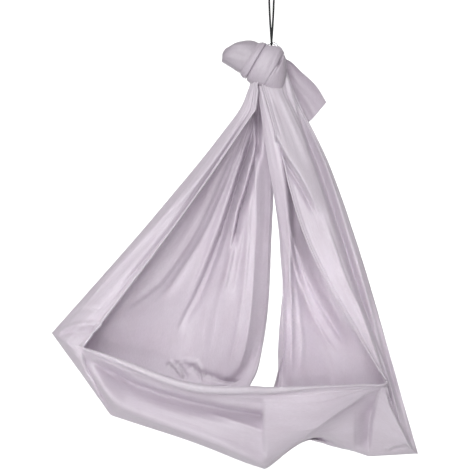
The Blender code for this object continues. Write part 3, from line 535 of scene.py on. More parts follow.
def wear_group():
    """Fine scratches and dull patches on metal, as a roughness to add and a height."""
    inputs = {"Scale": 60.0, "Stretch": 0.05}
    group, start, end = new_group("metal_wear", inputs, ("Dull", "Height"))
    place = add_node(group, "ShaderNodeTexCoord").outputs["Object"]
    split = add_node(group, "ShaderNodeSeparateXYZ", {0: place}).outputs
    long = maths(group, "MULTIPLY", start["Scale"], start["Stretch"])
    scales = (start["Scale"], start["Scale"], long)
    fine = vector(group, *(maths(group, "MULTIPLY", *pair) for pair in zip(split, scales)))
    grain = noise(group, fine, 12.0, 3.0)
    patches = noise(group, place, 55.0, 2.0)
    group.links.new(maths(group, "MULTIPLY", patches, grain), end["Dull"])
    group.links.new(grain, end["Height"])
    return group


def use_group(tree, name, build, inputs):
    """The outputs of a shared node group, which is built on its first use."""
    group = bpy.data.node_groups.get(name) or build()
    return add_node(tree, "ShaderNodeGroup", inputs, node_tree=group).outputs


def blank_material(name, colour):
    """A new material, its tree and its shader."""
    made = bpy.data.materials.new(name)
    made.use_nodes = True
    made.diffuse_color = (*colour, 1.0)
    return made, made.node_tree, made.node_tree.nodes["Principled BSDF"]


def bumped(tree, shader, *layers):
    """Feeds the shader's normal from bumps of (height, distance in metres, strength)."""
    normal = None
    for height, distance, strength in layers:
        inputs = {"Height": height, "Strength": strength, "Distance": distance}
        bump = add_node(tree, "ShaderNodeBump", inputs)
        if normal is not None:
            tree.links.new(normal, bump.inputs["Normal"])
        normal = bump.outputs[0]
    tree.links.new(normal, shader.inputs["Normal"])


# The cloth's knit, streaks and grain in metres, and how its surface takes the light
KNIT_PITCH = 0.0012
STREAK_SIZE = 0.035
GRAIN_SIZE = 0.0035
CLOTH_LOOKS = {
    "Subsurface Weight": 0.4,
    "Subsurface Radius": (1.0, 0.9, 1.0),
    "Subsurface Scale": 0.006,
    "Sheen Weight": 0.15,
    "Sheen Roughness": 0.3,
    "Sheen Tint": (0.92, 0.92, 1.0, 1.0),
    "Specular IOR Level": 0.65,
    "Coat Weight": 0.2,
    "Coat Roughness": 0.3,
}
# Painted shade: the knot's wraps, its rolled end and the free end are darker copies of the cloth, by these
# shares of its colours, standing in for the light that comes through less where the cloth lies many layers
# thick
WRAPS_PAINTED_SHADE = 0.76
ROLL_PAINTED_SHADE = 0.66
END_PAINTED_SHADE = 0.7


def tricot(name, cloth, seams=(), painted_shade=1.0):
    """Satin tricot: fine knit with painted shade in its dips, soft streaks, a little sheen, and rows of
    stitches beside its hems, painted dark as shade in their seam's groove. A painted shade share below 1
    makes a darker copy, as painted shade.
    """
    # A painted shade share below 1 darkens both colours, as painted shade
    light = tuple(painted_shade * c for c in cloth.light_colour)
    deep = tuple(painted_shade * c for c in cloth.deep_colour)
    material, tree, shader = blank_material(name, light)
    place = add_node(tree, "ShaderNodeUVMap", uv_map="cloth").outputs[0]
    split = add_node(tree, "ShaderNodeSeparateXYZ", {0: place}).outputs
    run = {"Across": split[0], "Along": split[1]}
    knit = use_group(tree, "tricot_knit", knit_group, {**run, "Pitch": KNIT_PITCH})
    uneven = use_group(tree, "cloth_unevenness", crumple_group, {**run, "Size": STREAK_SIZE})
    fine = use_group(tree, "cloth_unevenness", crumple_group, {**run, "Size": GRAIN_SIZE})
    colour = mixed(tree, ranged(tree, uneven["Mask"], 0.25, 0.6, 0.6, 1.0), deep, light)
    # The knit's tint darkens the colour in its dips, as painted shade
    colour = mixed(tree, 0.5, colour, vector(tree, *[knit["Tint"]] * 3), "MULTIPLY")
    grain = ranged(tree, fine["Height"], 0.3, 0.7, 0.94, 1.06)
    colour = mixed(tree, 1.0, colour, vector(tree, grain, grain, grain), "MULTIPLY")
    layers = [(uneven["Height"], 0.004, 0.35), (knit["Height"], 0.0003, 0.5)]
    # Each stitch row is painted in the deep colour, as painted shade in its seam's groove
    for from_edge in seams:
        row = use_group(tree, "stitch_row", stitch_group, {**run, "From edge": from_edge})
        colour = mixed(tree, row["Mask"], colour, deep)
        layers.append((row["Height"], 0.0008, -0.6))
    tree.links.new(colour, shader.inputs["Base Color"])
    tree.links.new(ranged(tree, uneven["Mask"], 0.0, 1.0, 0.33, 0.43), shader.inputs["Roughness"])
    for key, value in CLOTH_LOOKS.items():
        shader.inputs[key].default_value = value
    bumped(tree, shader, *layers)
    return material


# How the braid's strands run, in radians of their wave for each metre along, and strands round it
BRAID_WAVE = 1500.0
BRAID_STRANDS = 3.0


def braid(name, colour):
    """Braided cord: crossing strands round it, dull, with a slight gloss on each, painted shade between the
    strands and a painted highlight on their crowns.
    """
    material, tree, shader = blank_material(name, colour)
    place = add_node(tree, "ShaderNodeTexCoord").outputs["Object"]
    split = add_node(tree, "ShaderNodeSeparateXYZ", {0: place}).outputs
    turn = maths(tree, "ARCTAN2", split[1], split[0])
    waves = []
    for way in (1, -1):
        round_it = maths(tree, "MULTIPLY", turn, BRAID_STRANDS * way)
        run = maths(tree, "ADD", maths(tree, "MULTIPLY", split[2], BRAID_WAVE), round_it)
        waves.append(maths(tree, "ABSOLUTE", maths(tree, "SINE", run)))
    weave = maths(tree, "MAXIMUM", *waves)
    # Painted shade between the strands and painted highlight on their crowns, both from the weave
    mask = ranged(tree, weave, 0.6, 1.0, 0.5, 1.6)
    strand_shade_and_highlight = vector(tree, mask, mask, mask)
    tree.links.new(mixed(tree, 1.0, colour, strand_shade_and_highlight, "MULTIPLY"), shader.inputs["Base Color"])
    tree.links.new(ranged(tree, weave, 0.5, 1.0, 0.85, 0.6), shader.inputs["Roughness"])
    bumped(tree, shader, (weave, 0.0005, 0.8))
    return material


# The colour of worn metal and the paler and darker parts of the floor, as shares of their own colour
WORN_SHARE = 0.82
FLOOR_SHADE = 0.985


def metal(name, colour, roughness, dullness, scale, stretch, relief):
    """Metal with its own grain, dull patches and fine scratches."""
    material, tree, shader = blank_material(name, colour)
    shader.inputs["Metallic"].default_value = 1.0
    wear = use_group(tree, "metal_wear", wear_group, {"Scale": scale, "Stretch": stretch})
    rough = maths(tree, "MULTIPLY_ADD", wear["Dull"], dullness, roughness)
    tree.links.new(rough, shader.inputs["Roughness"])
    dark = tuple(WORN_SHARE * c for c in colour)
    tree.links.new(mixed(tree, wear["Dull"], colour, dark), shader.inputs["Base Color"])
    bumped(tree, shader, (wear["Height"], relief, 0.35))
    return material


def placed(name, data):
    """An object that holds the data, in the scene."""
    made = bpy.data.objects.new(name, data)
    bpy.context.scene.collection.objects.link(made)
    return made


# Cloth building

def smooth_line(points, counts, corners=None):
    """A smooth curve through the points, with the given number of steps in each span. Corners says
    how sharply it turns at some of them."""
    points = np.asarray(points, float)
    corners = corners or {}
    gaps = np.maximum(np.linalg.norm(np.diff(points, axis=0), axis=1, keepdims=True), 1e-6)
    rise = np.diff(points, axis=0) / gaps
    inner = (rise[:-1] * gaps[1:] + rise[1:] * gaps[:-1]) / (gaps[1:] + gaps[:-1])
    lean = np.concatenate([rise[:1], inner, rise[-1:]])
    found = []
    for i, count in enumerate(counts):
        out = lean[i] + (rise[i] - lean[i]) * corners.get(i, 0)
        into = lean[i + 1] + (rise[i] - lean[i + 1]) * corners.get(i + 1, 0)
        for k in range(count):
            t = k / count
            weights = (2 * t**3 - 3 * t**2 + 1, t**3 - 2 * t**2 + t, 3 * t**2 - 2 * t**3, t**3 - t**2)
            ends = (points[i], gaps[i] * out, points[i + 1], gaps[i] * into)
            found.append(sum(weight * end for weight, end in zip(weights, ends)))
    found.append(points[-1])
    return np.array(found)


def grid_normals(grid):
    """The direction square to the sheet at each point of its grid."""
    square = np.cross(np.gradient(grid, axis=0), np.gradient(grid, axis=1))
    return square / np.maximum(np.linalg.norm(square, axis=2, keepdims=True), 1e-9)


def soft_noise(shape, cells, seed):
    """Smooth random waves over a grid, from -1 to 1."""
    waves = np.random.default_rng(seed).uniform(-1, 1, (cells[0] + 3, cells[1] + 3))
    for length, count in zip(shape, cells):
        step = max(1, math.ceil(length / count))
        waves = smooth_line(waves, [step] * (len(waves) - 1))[:length].T
    return waves


def from_ring(points):
    """Places in metres, from millimetres across, in depth and down from the ring's bar."""
    places = np.array(points, float) * MM
    places[..., 2] = RING_PIVOT - places[..., 2]
    return places


def section_points():
    """The sections in metres, the two mouths laid on the knot's sloping underside."""
    net = []
    for section in SECTIONS:
        if len(section[0]) == 2:
            section = [(x, y, (UNDERSIDE_DROP + UNDERSIDE_SLOPE * x * MM) / MM) for x, y in section]
        net.append(section)
    net = np.array(net, float) * MM
    drop = net[..., 2] - net[0, :, 2].mean()
    drop[0] = drop[-1] = 0
    net[..., 1] -= FORWARD_LEAN * drop
    net[..., 2] = RING_PIVOT - net[..., 2]
    return net


def seen(points):
    """Where points show in the picture, as across and down in millimetres on the plane of the cord."""
    reach = -EYE.y / (points[..., 1] - EYE.y)
    across = EYE.x + (points[..., 0] - EYE.x) * reach
    up = EYE.z + (points[..., 2] - EYE.z) * reach
    return np.stack([across / MM, (RING_PIVOT - up) / MM], axis=-1)


def along_course(flat, course):
    """For each point, its signed distance from a course and its share of the way along it."""
    course = np.asarray(course, float)
    steps = np.linalg.norm(np.diff(course, axis=0), axis=1)
    best = np.full(flat.shape[:-1], np.inf)
    signed = np.zeros_like(best)
    share = np.zeros_like(best)
    done = 0.0
    for start, end, length in zip(course, course[1:], steps):
        way = (end - start) / length
        offset = flat - start
        kept = np.clip(offset @ way, 0, length)
        away = np.linalg.norm(offset - kept[..., None] * way, axis=-1)
        side = np.sign(way[1] * offset[..., 0] - way[0] * offset[..., 1])
        nearer = away < best
        best = np.where(nearer, away, best)
        signed = np.where(nearer, away * side, signed)
        share = np.where(nearer, (done + kept) / steps.sum(), share)
        done += length
    return signed, share


# How steeply a fold fades at the ends of its course and at the sides of its stretch of lines, and how
# far past its ends, as a share of its course, it would reach nothing
END_FADE = 5
SIDE_FADE = 2
END_SLACK = 0.02


def fold(grid, breaks, where):
    """Pushes one fold of the cloth towards the front."""
    (first, last), (low, high), push, left, right, course = where
    rows = slice(breaks[first], breaks[last] + 1)
    start, end = (int(np.interp(line, range(len(LINE_STARTS)), LINE_STARTS)) for line in (low, high))
    part = grid[rows, start:end + 1]
    signed, share = along_course(seen(part), course)
    wide = np.where(signed < 0, left, right)
    ends = np.clip(np.minimum(share + END_SLACK, 1 + END_SLACK - share) * END_FADE, 0, 1)
    body = np.exp(-((signed / wide) ** 2)) * ends * ends * (3 - 2 * ends)
    line = np.interp(np.arange(start, end + 1), LINE_STARTS, range(len(LINE_STARTS)))
    edge = np.ones(part.shape[1])
    if low > 0:
        edge *= np.clip((line - low) * SIDE_FADE, 0, 1)
    if high < len(SECTIONS[0]) - 1:
        edge *= np.clip((high - line) * SIDE_FADE, 0, 1)
    part[..., 1] -= push * MM * body * edge


# Random waves are drawn from these seeds, so they come out the same in each run
PLEAT_SEED = 11
WRINKLE_SEED = 5
SWELL_SEED = 8
# The sections at the top and the foot of each drape
DRAPE_ENDS = ((0, 4), (14, 11))
# How far the pleats wander across a drape, as a share of a pleat, and how many draws that takes
PLEAT_WANDER = 0.35
PLEAT_DRAWS = 12
# The gathers under the knot: how many to a pleat, how far down a drape, over how much, and how deep
GATHER_COUNT = 2.7
GATHER_PLACE = 0.1
GATHER_SPAN = 0.14
GATHER_SHARE = 0.8
# Wrinkles and swells: how many along and across the cloth, and how high in metres
WRINKLE_CELLS = (9, 46)
SWELL_CELLS = (14, 12)
WRINKLE_LIFT = 0.0009
SWELL_LIFT = 0.0024


def pleated(grid, breaks, cloth):
    """Soft pleats that run down each drape from the knot, with finer gathers close under it."""
    normals = grid_normals(grid)
    columns = np.linspace(0, 1, grid.shape[1])
    draws = np.random.default_rng(PLEAT_SEED).uniform(-PLEAT_WANDER, PLEAT_WANDER, PLEAT_DRAWS)
    bend = np.interp(columns, np.linspace(0, 1, PLEAT_DRAWS), draws)
    edge = np.clip(np.sin(math.pi * columns), 0, 1) ** 0.5
    for top, foot in ((breaks[first], breaks[last]) for first, last in DRAPE_ENDS):
        for row in range(min(top, foot), max(top, foot) + 1):
            share = (row - top) / (foot - top)
            broad = np.sin(math.tau * (cloth.pleats * columns + bend)) * math.sin(math.pi * share) ** 1.2
            close = math.exp(-(((share - GATHER_PLACE) / GATHER_SPAN) ** 2)) * GATHER_SHARE
            fine = np.sin(math.tau * (GATHER_COUNT * cloth.pleats * columns + 2 * bend)) * close
            grid[row] += normals[row] * (cloth.pleat_depth * (broad + fine) * edge)[:, None]
    return grid


def kept_in(grid):
    """Eases folds that stand out at the back or the front to within the cloth's own depth."""
    back = np.maximum(grid[..., 1] - BACK_REACH, 0)
    front = np.maximum(FRONT_REACH - grid[..., 1], 0)
    grid[..., 1] += EASE * (1 - np.exp(-back / EASE)) - back
    grid[..., 1] -= EASE * (1 - np.exp(-front / EASE)) - front
    return grid


def wrinkled(grid):
    """Slight unevenness: long soft wrinkles down the cloth and broad swells over it."""
    long_ones = soft_noise(grid.shape[:2], WRINKLE_CELLS, WRINKLE_SEED)
    broad_ones = soft_noise(grid.shape[:2], SWELL_CELLS, SWELL_SEED)
    lift = WRINKLE_LIFT * long_ones + SWELL_LIFT * broad_ones
    return grid + grid_normals(grid) * lift[..., None]


def hemmed(grid):
    """A thicker band along both edges, with the groove of its seam beside it."""
    wide = np.linalg.norm(np.diff(grid, axis=1), axis=2)
    run = np.concatenate([np.zeros((len(grid), 1)), np.cumsum(wide, axis=1)], axis=1)
    height = 0
    for far in (run, run[:, -1:] - run):
        band = 1 / (1 + np.exp((far - HEM_WIDTH) / (SEAM_WIDTH / 4)))
        height = height + HEM_LIFT * band - SEAM_DEPTH * np.exp(-(((far - HEM_WIDTH) / SEAM_WIDTH) ** 2))
    return grid + grid_normals(grid) * height[..., None]


def rolled_edge(grid, normals, radii, steps, outer):
    """Extra columns past one edge of the grid, which curl over into a rolled hem."""
    last, before = (-1, -2) if outer else (0, 1)
    edge = grid[:, last]
    along = np.gradient(edge, axis=0)
    along /= np.linalg.norm(along, axis=1, keepdims=True)
    outward = edge - grid[:, before]
    outward -= along * (outward * along).sum(axis=1, keepdims=True)
    outward /= np.linalg.norm(outward, axis=1, keepdims=True)
    side = np.cross(along, outward)
    if (side * normals[:, last]).sum() < 0:
        side = -side
    extra = []
    for k in range(1, steps + 1):
        turn = math.tau * HEM_TURNS * k / steps
        shrink = 1 - HEM_TIGHTENING * k / steps
        curl = side * (1 - shrink * math.cos(turn)) + outward * shrink * math.sin(turn)
        extra.append(edge + radii[:, None] * curl)
    extra = np.stack(extra, axis=1)
    return extra if outer else extra[:, ::-1]


def cloth_grid(cloth):
    """Rows of points over the whole cloth from mouth to mouth, rolled hems included."""
    net = section_points()
    lines = []
    for j in range(net.shape[1]):
        lines.append(smooth_line(net[:, j], ROW_STEPS, {at: sharp[j] for at, sharp in CORNERS.items()}))
    breaks = [sum(ROW_STEPS[:i]) for i in range(len(SECTIONS))]
    grid = []
    for number, row in enumerate(np.stack(lines, axis=1)):
        sharp = {line: np.interp(number, breaks, share) for line, share in CREASES.items()}
        grid.append(smooth_line(row, LINE_STEPS, sharp))
    grid = pleated(np.array(grid), breaks, cloth)
    for where in FOLDS:
        fold(grid, breaks, where)
    grid = hemmed(kept_in(wrinkled(grid)))
    radii = np.interp(np.arange(len(grid)), breaks, HEM_ROLL) * MM
    normals = grid_normals(grid)
    front = rolled_edge(grid, normals, radii, HEM_STEPS, True)
    back = rolled_edge(grid, normals, np.full(len(grid), BACK_ROLL * MM), BACK_STEPS, False)
    return carried_up(np.concatenate([back, grid, front], axis=1))


def carried_up(grid):
    """Carries both mouths on up into the knot."""
    share = (np.arange(1, TOP_ROWS + 1) / TOP_ROWS)[:, None, None]
    ends = []
    for edge, top in ((grid[0], LEFT_TOP), (grid[-1], RIGHT_TOP)):
        move = smooth_line(from_ring(top), LINE_STEPS) - edge[BACK_STEPS:-HEM_STEPS]
        move = [np.repeat(move[:1], BACK_STEPS, 0), move, np.repeat(move[-1:], HEM_STEPS, 0)]
        ends.append(edge + np.concatenate(move) * share)
    return np.concatenate([ends[0][::-1], grid, ends[1]])


def cloth_object(name, grid, material, thickness):
    """A sheet through the grid, with its own measure across and along in metres for the knit."""
    rows, columns = grid.shape[:2]
    index = np.arange(rows * columns).reshape(rows, columns)
    corners = [index[:-1, :-1], index[1:, :-1], index[1:, 1:], index[:-1, 1:]]
    mesh = bpy.data.meshes.new(name)
    mesh.from_pydata(grid.reshape(-1, 3).tolist(), [], np.stack(corners, axis=-1).reshape(-1, 4).tolist())
    wide = np.linalg.norm(np.diff(grid, axis=1), axis=2)
    across = np.concatenate([[0.0], np.cumsum(wide.max(axis=0))])
    long = np.linalg.norm(np.diff(grid, axis=0), axis=2)
    down = np.concatenate([[0.0], np.cumsum(long.mean(axis=1))])
    measure = np.stack(np.meshgrid(down, across, indexing="ij")[::-1], axis=-1).reshape(-1, 2)
    layer = mesh.uv_layers.new(name="cloth")
    corner = np.zeros(len(mesh.loops), np.int32)
    mesh.loops.foreach_get("vertex_index", corner)
    layer.uv.foreach_set("vector", measure[corner].astype(np.float32).ravel())
    mesh.materials.append(material)
    mesh.shade_smooth()
    piece = placed(name, mesh)
    body = piece.modifiers.new("cloth_thickness", "SOLIDIFY")
    body.thickness = thickness
    body.offset = 0.0
    return piece


def stands_for(piece, slot, body, *nodes):
    """Hangs a piece on its body, and hides the solids it stands for."""
    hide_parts(*nodes)
    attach(piece, body)


class HAMMOCK_OT_cloth(Operator):
    """Makes the long cloth: both drapes, the seat and its rolled front hem"""

    bl_idname = "hammock.cloth"
    bl_label = "Cloth"

    def execute(self, context):
        cloth = context.scene.hammock_cloth
        material = tricot("lilac_tricot_cloth", cloth, (STITCHES_FROM_EDGE,))
        piece = cloth_object("yoga_cloth", cloth_grid(cloth), material, cloth.thickness)
        stands_for(
            piece,
            "lilac_tricot",
            "sling",
            "left_drape",
            "seat_left",
            "seat_right",
            "right_drape",
            "front_hem",
        )
        return {"FINISHED"}


# Knot building

# The knot's middle, tilt and size in metres, how far its right end leans, how full its front and back
# are, and the points round each of its rings
KNOT_CENTRE = np.array((-0.016, 0.004, -0.100 + RING_PIVOT))
KNOT_TILT = math.radians(30)
KNOT_LENGTH = 0.166
KNOT_HEIGHT = 0.184
KNOT_DEPTH = 0.128
KNOT_END_LEAN = 0.30
KNOT_FULLNESS = 0.72
RING_POINTS = 150
# The rings of the wraps: share of the length, and middle, height and depth as shares of the knot's own
WRAP_RINGS = [
    (0, -0.03, 0.76, 0.72), (0.04, -0.02, 0.83, 0.81), (0.11, -0.01, 0.89, 0.89), (0.16, 0, 0.89, 0.89),
    (0.19, 0, 0.85, 0.84), (0.22, 0, 0.91, 0.91), (0.31, 0.01, 0.98, 0.97), (0.43, 0.02, 1, 1),
    (0.55, 0.03, 1, 1), (0.64, 0.02, 0.97, 0.97), (0.72, 0.01, 0.93, 0.93), (0.81, -0.01, 0.86, 0.85),
    (0.88, -0.03, 0.76, 0.75), (0.94, -0.05, 0.63, 0.62), (0.98, -0.06, 0.46, 0.47), (1, -0.07, 0.26, 0.28),
]
WRAP_STEPS = 7
# The same for the rolled end, which starts a little inside the wraps
ROLL_RINGS = [
    (0, -0.015, 0.77, 0.75), (0.30, -0.028, 0.745, 0.72), (0.55, -0.064, 0.645, 0.68),
    (0.78, -0.125, 0.50, 0.58), (0.87, -0.172, 0.40, 0.48), (0.98, -0.165, 0.13, 0.22),
]
ROLL_CORNERS = {3: 0.4, 4: 1.0}
ROLL_STEPS = 12
ROLL_LENGTH = 0.104
ROLL_OVERLAP = 0.012
# Creases round the wraps: share along, how much they wander, depth and width
WRAP_CREASES = [
    (0.03, 0.008, 0.003, 0.012), (0.06, 0.008, 0.0024, 0.009), (0.2, 0.01, 0.0045, 0.009),
    (0.71, -0.085, 0.006, 0.012), (0.11, 0.02, 0.0015, 0.02),
]
# The slit that opens between two wraps: its share along, width, turn round the knot, span and depth
SLIT_SHARE = 0.73
SLIT_WIDTH = 0.03
SLIT_TURN = 2.5
SLIT_SPAN = 0.42
SLIT_DEPTH = 0.022
# The faint gathers round the wraps, and how steeply they and the creases fade at the knot's ends
WRAP_GATHERS = 7
WRAP_GATHER_DEPTH = 0.0003
WRAP_FADE = 14
# Where the ring's bow keeps the cloth down: its middle, half width, drop and slope, and how fully it does
NOTCH_MIDDLE = 0.007
NOTCH_HALF_WIDTH = 0.016
NOTCH_DROP = 0.0165
NOTCH_SLOPE = 1.6
NOTCH_DRAW = 0.97


def tilted(along, up, depth):
    """A place on the knot from its own axes."""
    cos, sin = math.cos(KNOT_TILT), math.sin(KNOT_TILT)
    return KNOT_CENTRE + np.stack([along * cos + up * sin, depth, -along * sin + up * cos], axis=-1)


def knot_surface(rings, start, length, leaning, steps, corners=None):
    """Rows of points round the knot through its rings, and each row's share of the length."""
    table = smooth_line(np.array(rings, float), [steps] * (len(rings) - 1), corners)
    rows = []
    turn = np.linspace(0, math.tau, RING_POINTS, endpoint=False)
    for share, middle, height, depth in table:
        up = KNOT_HEIGHT * (middle + height / 2 * np.sin(turn))
        lean = leaning * max(0.0, 2 * share - 1)
        out = np.sign(np.cos(turn)) * np.abs(np.cos(turn)) ** KNOT_FULLNESS
        rows.append(tilted(start + length * share - lean * up, up, KNOT_DEPTH * depth / 2 * out))
    return np.array(rows), table[:, 0]


def closed_object(name, grid, material):
    """A closed body through rings of points, its two ends gathered shut."""
    rows, columns = grid.shape[:2]
    work = bmesh.new()
    layer = work.loops.layers.uv.new("cloth")
    verts = [[work.verts.new(point) for point in row] for row in grid]
    wide = np.linalg.norm(np.diff(grid, axis=1, append=grid[:, :1]), axis=2).mean(axis=0)
    round_it = np.concatenate([[0.0], np.cumsum(wide)])
    long = np.linalg.norm(np.diff(grid, axis=0), axis=2).mean(axis=1)
    long = np.concatenate([[0.0], np.cumsum(long)])
    for i in range(rows - 1):
        for j in range(columns):
            corners = ((i, j), (i, j + 1), (i + 1, j + 1), (i + 1, j))
            face = work.faces.new([verts[a][b % columns] for a, b in corners])
            for loop, (a, b) in zip(face.loops, corners):
                loop[layer].uv = (long[a], round_it[b])
    for ring, middle in ((verts[0], grid[0].mean(axis=0)), (verts[-1], grid[-1].mean(axis=0))):
        tip = work.verts.new(middle)
        for j in range(columns):
            work.faces.new((ring[j], ring[(j + 1) % columns], tip))
    bmesh.ops.recalc_face_normals(work, faces=work.faces)
    mesh = bpy.data.meshes.new(name)
    work.to_mesh(mesh)
    work.free()
    mesh.materials.append(material)
    mesh.shade_smooth()
    return placed(name, mesh)


class HAMMOCK_OT_knot(Operator):
    """Makes the knot: the wraps of gathered cloth and the rolled end on their left"""

    bl_idname = "hammock.knot"
    bl_label = "Knot"

    def execute(self, context):
        cloth = context.scene.hammock_cloth
        left = -KNOT_LENGTH / 2
        grid, shares = knot_surface(WRAP_RINGS, left, KNOT_LENGTH, KNOT_END_LEAN, WRAP_STEPS)
        # The wraps take a darker copy of the cloth, as painted shade
        material = tricot("lilac_tricot_wraps_painted_shade", cloth, painted_shade=WRAPS_PAINTED_SHADE)
        wraps = closed_object("knot_wraps_cloth", gathered_round(grid, shares), material)
        stands_for(wraps, "lilac_tricot", "sling", "knot_wraps")
        start, length = left + ROLL_OVERLAP, -ROLL_LENGTH - ROLL_OVERLAP
        grid = knot_surface(ROLL_RINGS, start, length, 0.0, ROLL_STEPS, ROLL_CORNERS)[0]
        # The rolled end takes a still darker copy of the cloth, as painted shade
        material = tricot("lilac_tricot_roll_painted_shade", cloth, painted_shade=ROLL_PAINTED_SHADE)
        roll = closed_object("knot_roll_cloth", gathered_along(grid), material)
        stands_for(roll, "lilac_tricot", "sling", "knot_roll")
        return {"FINISHED"}


def round_axis(grid):
    """The direction out from a body's own middle at each point, and the turn round it."""
    out = grid - grid.mean(axis=1, keepdims=True)
    out /= np.maximum(np.linalg.norm(out, axis=2, keepdims=True), 1e-9)
    return out, np.linspace(0, math.tau, grid.shape[1], endpoint=False)[None]


def gathered_round(grid, shares):
    """Creases between the wraps, a slit at their right, and faint gathers round them."""
    out, turn = round_axis(grid)
    rows = shares[:, None]
    height = 0
    for where, wave, deep, wide in WRAP_CREASES:
        off = (rows - where - wave * np.sin(turn + 5 * where)) / wide
        height -= deep * np.exp(-(off**2))
    slit = np.exp(-(((rows - SLIT_SHARE) / SLIT_WIDTH) ** 2))
    height -= SLIT_DEPTH * (slit * np.exp(-(((turn - SLIT_TURN) / SLIT_SPAN) ** 2)))
    phase = WRAP_GATHERS * math.tau * rows + 1.4 * np.sin(turn + 0.6) + 0.8 * np.sin(2 * turn + 6 * rows)
    height += WRAP_GATHER_DEPTH * np.sin(phase) * (1 + np.sin(turn + 9 * rows))
    fade = np.clip(np.minimum(rows, 1 - rows) * WRAP_FADE, 0, 1)
    return notched(grid + out * (height * fade)[..., None])


def notched(grid):
    """Draws the cloth down from the ring's bow, so that it stands out of the knot's top."""
    off = np.clip(np.abs(grid[..., 0] - NOTCH_MIDDLE) - NOTCH_HALF_WIDTH, 0, None)
    limit = RING_PIVOT - NOTCH_DROP + NOTCH_SLOPE * off
    over = np.maximum(grid[..., 2] - limit, 0)
    grid[..., 2] -= over * NOTCH_DRAW
    return grid


def gathered_along(grid):
    """Folds that run along the rolled end towards its tip."""
    out, turn = round_axis(grid)
    rows = np.linspace(0, 1, grid.shape[0])[:, None]
    height = 0.0018 * np.sin(5 * turn + 2.5 * rows) + 0.0006 * np.sin(11 * turn - 3 * rows + 1)
    return grid + out * (height * (0.4 + 0.6 * np.sin(math.pi * rows)))[..., None]


# Rows across the free end from the knot down, in millimetres: across, depth, and down from the ring's bar
TAIL_ROWS = [
    [(42, 16, 56), (48, 32, 80), (46, 40, 106), (42, 36, 130), (38, 42, 152)],
    [(74, 28, 70), (76, 46, 94), (72, 54, 120), (66, 48, 144), (60, 54, 166)],
    [(118, 34, 110), (112, 58, 140), (106, 64, 166), (98, 56, 196), (88, 64, 216)],
    [(180, 38, 168), (168, 62, 200), (156, 70, 232), (140, 60, 258), (124, 68, 276)],
    [(222, 40, 234), (204, 56, 256), (184, 64, 280), (164, 58, 302), (144, 64, 318)],
]
TAIL_STEPS = 12
# How deep the free end's ripples are, in metres
TAIL_RIPPLE = 0.004


class HAMMOCK_OT_free_end(Operator):
    """Makes the cloth's free end behind the knot's right"""

    bl_idname = "hammock.free_end"
    bl_label = "Free end"

    def execute(self, context):
        cloth = context.scene.hammock_cloth
        rows = from_ring(TAIL_ROWS)
        steps = [TAIL_STEPS] * (len(rows) - 1)
        lines = np.stack([smooth_line(rows[:, j], steps) for j in range(rows.shape[1])], axis=1)
        grid = np.array([smooth_line(row, steps) for row in lines])
        down = np.linspace(0, 1, grid.shape[0])[:, None]
        across = np.linspace(0, 1, grid.shape[1])[None]
        ripple = TAIL_RIPPLE * np.sin(math.tau * 1.7 * across + 1.2 * down + 0.4) * (1 - 0.5 * down)
        grid += grid_normals(grid) * ripple[..., None]
        # The free end takes a darker copy of the cloth, as painted shade
        material = tricot("lilac_tricot_end_painted_shade", cloth, painted_shade=END_PAINTED_SHADE)
        piece = cloth_object("free_end_cloth", grid, material, cloth.thickness)
        stands_for(piece, "lilac_tricot", "sling", "free_end")
        return {"FINISHED"}


# Cord and fittings

# Points of the cord round each bow of the loop and down each strand of it
BOW_STEPS = 16
STRAND_STEPS = 14


def loop_points():
    """The cord's centre line, from its end in the sleeve round the karabiner and the ring and back."""
    radius = bpy.context.scene.hammock_fittings.cord_diameter / 2
    over = KARABINER_BAR + radius + CORD_GAP
    under = RING_BAR + radius + CORD_GAP
    reach = LOOP_PIVOT - RING_PIVOT
    middle = LOOP_PIVOT - SLEEVE_DROP

    def strand(level, start):
        """A point of one strand, which turns a quarter round between the karabiner and the ring."""
        share = max(0, LOOP_PIVOT - TWIST_START - level) / (reach - TWIST_START)
        turn = start + share * math.pi / 2
        spread = over + (under - over) * share
        return Vector((spread * math.cos(turn), spread * math.sin(turn), level))

    def bow(level, spread, start, end, flat):
        """Points round the karabiner's bar or the ring's."""
        found = []
        for k in range(BOW_STEPS + 1):
            turn = math.radians(start + (end - start) * k / BOW_STEPS)
            across, up = spread * math.cos(turn), spread * math.sin(turn)
            found.append(Vector((across, 0, level + up) if flat == "XZ" else (0, across, level + up)))
        return found

    levels = [LOOP_PIVOT - reach * k / STRAND_STEPS for k in range(STRAND_STEPS + 1)]
    points = [strand(middle + CORD_GAP / 2, 0), strand(levels[1], 0)]
    points += bow(LOOP_PIVOT, over, 0, 180, "XZ")
    points += [strand(level, math.pi) for level in levels[1:-1]]
    points += bow(RING_PIVOT, under, 180, 360, "YZ")
    points += [strand(level, 0) for level in reversed(levels[3:-1])]
    points.append(strand(middle - CORD_GAP / 2, 0))
    return points


class HAMMOCK_OT_cord(Operator):
    """Makes the braided cord loop between the karabiner and the ring"""

    bl_idname = "hammock.cord"
    bl_label = "Cord"

    def execute(self, context):
        fittings = context.scene.hammock_fittings
        points = loop_points()
        curve = bpy.data.curves.new("cord_loop", "CURVE")
        curve.dimensions = "3D"
        curve.bevel_depth = fittings.cord_diameter / 2
        curve.bevel_resolution = 4
        curve.use_fill_caps = True
        line = curve.splines.new("POLY")
        line.points.add(len(points) - 1)
        for point, where in zip(line.points, points):
            point.co = (*where, 1)
        curve.materials.append(braid("black_braid", tuple(fittings.cord_colour)))
        piece = placed("cord_loop", curve)
        stands_for(piece, "black_cord", "cord", "hanging_cord")
        return {"FINISHED"}


# The races, nut and gate parts are darker steel, by this share of the plate's colour
GROUND_SHARE = 0.72
SLEEVE_COLOUR = (0.05, 0.05, 0.055)


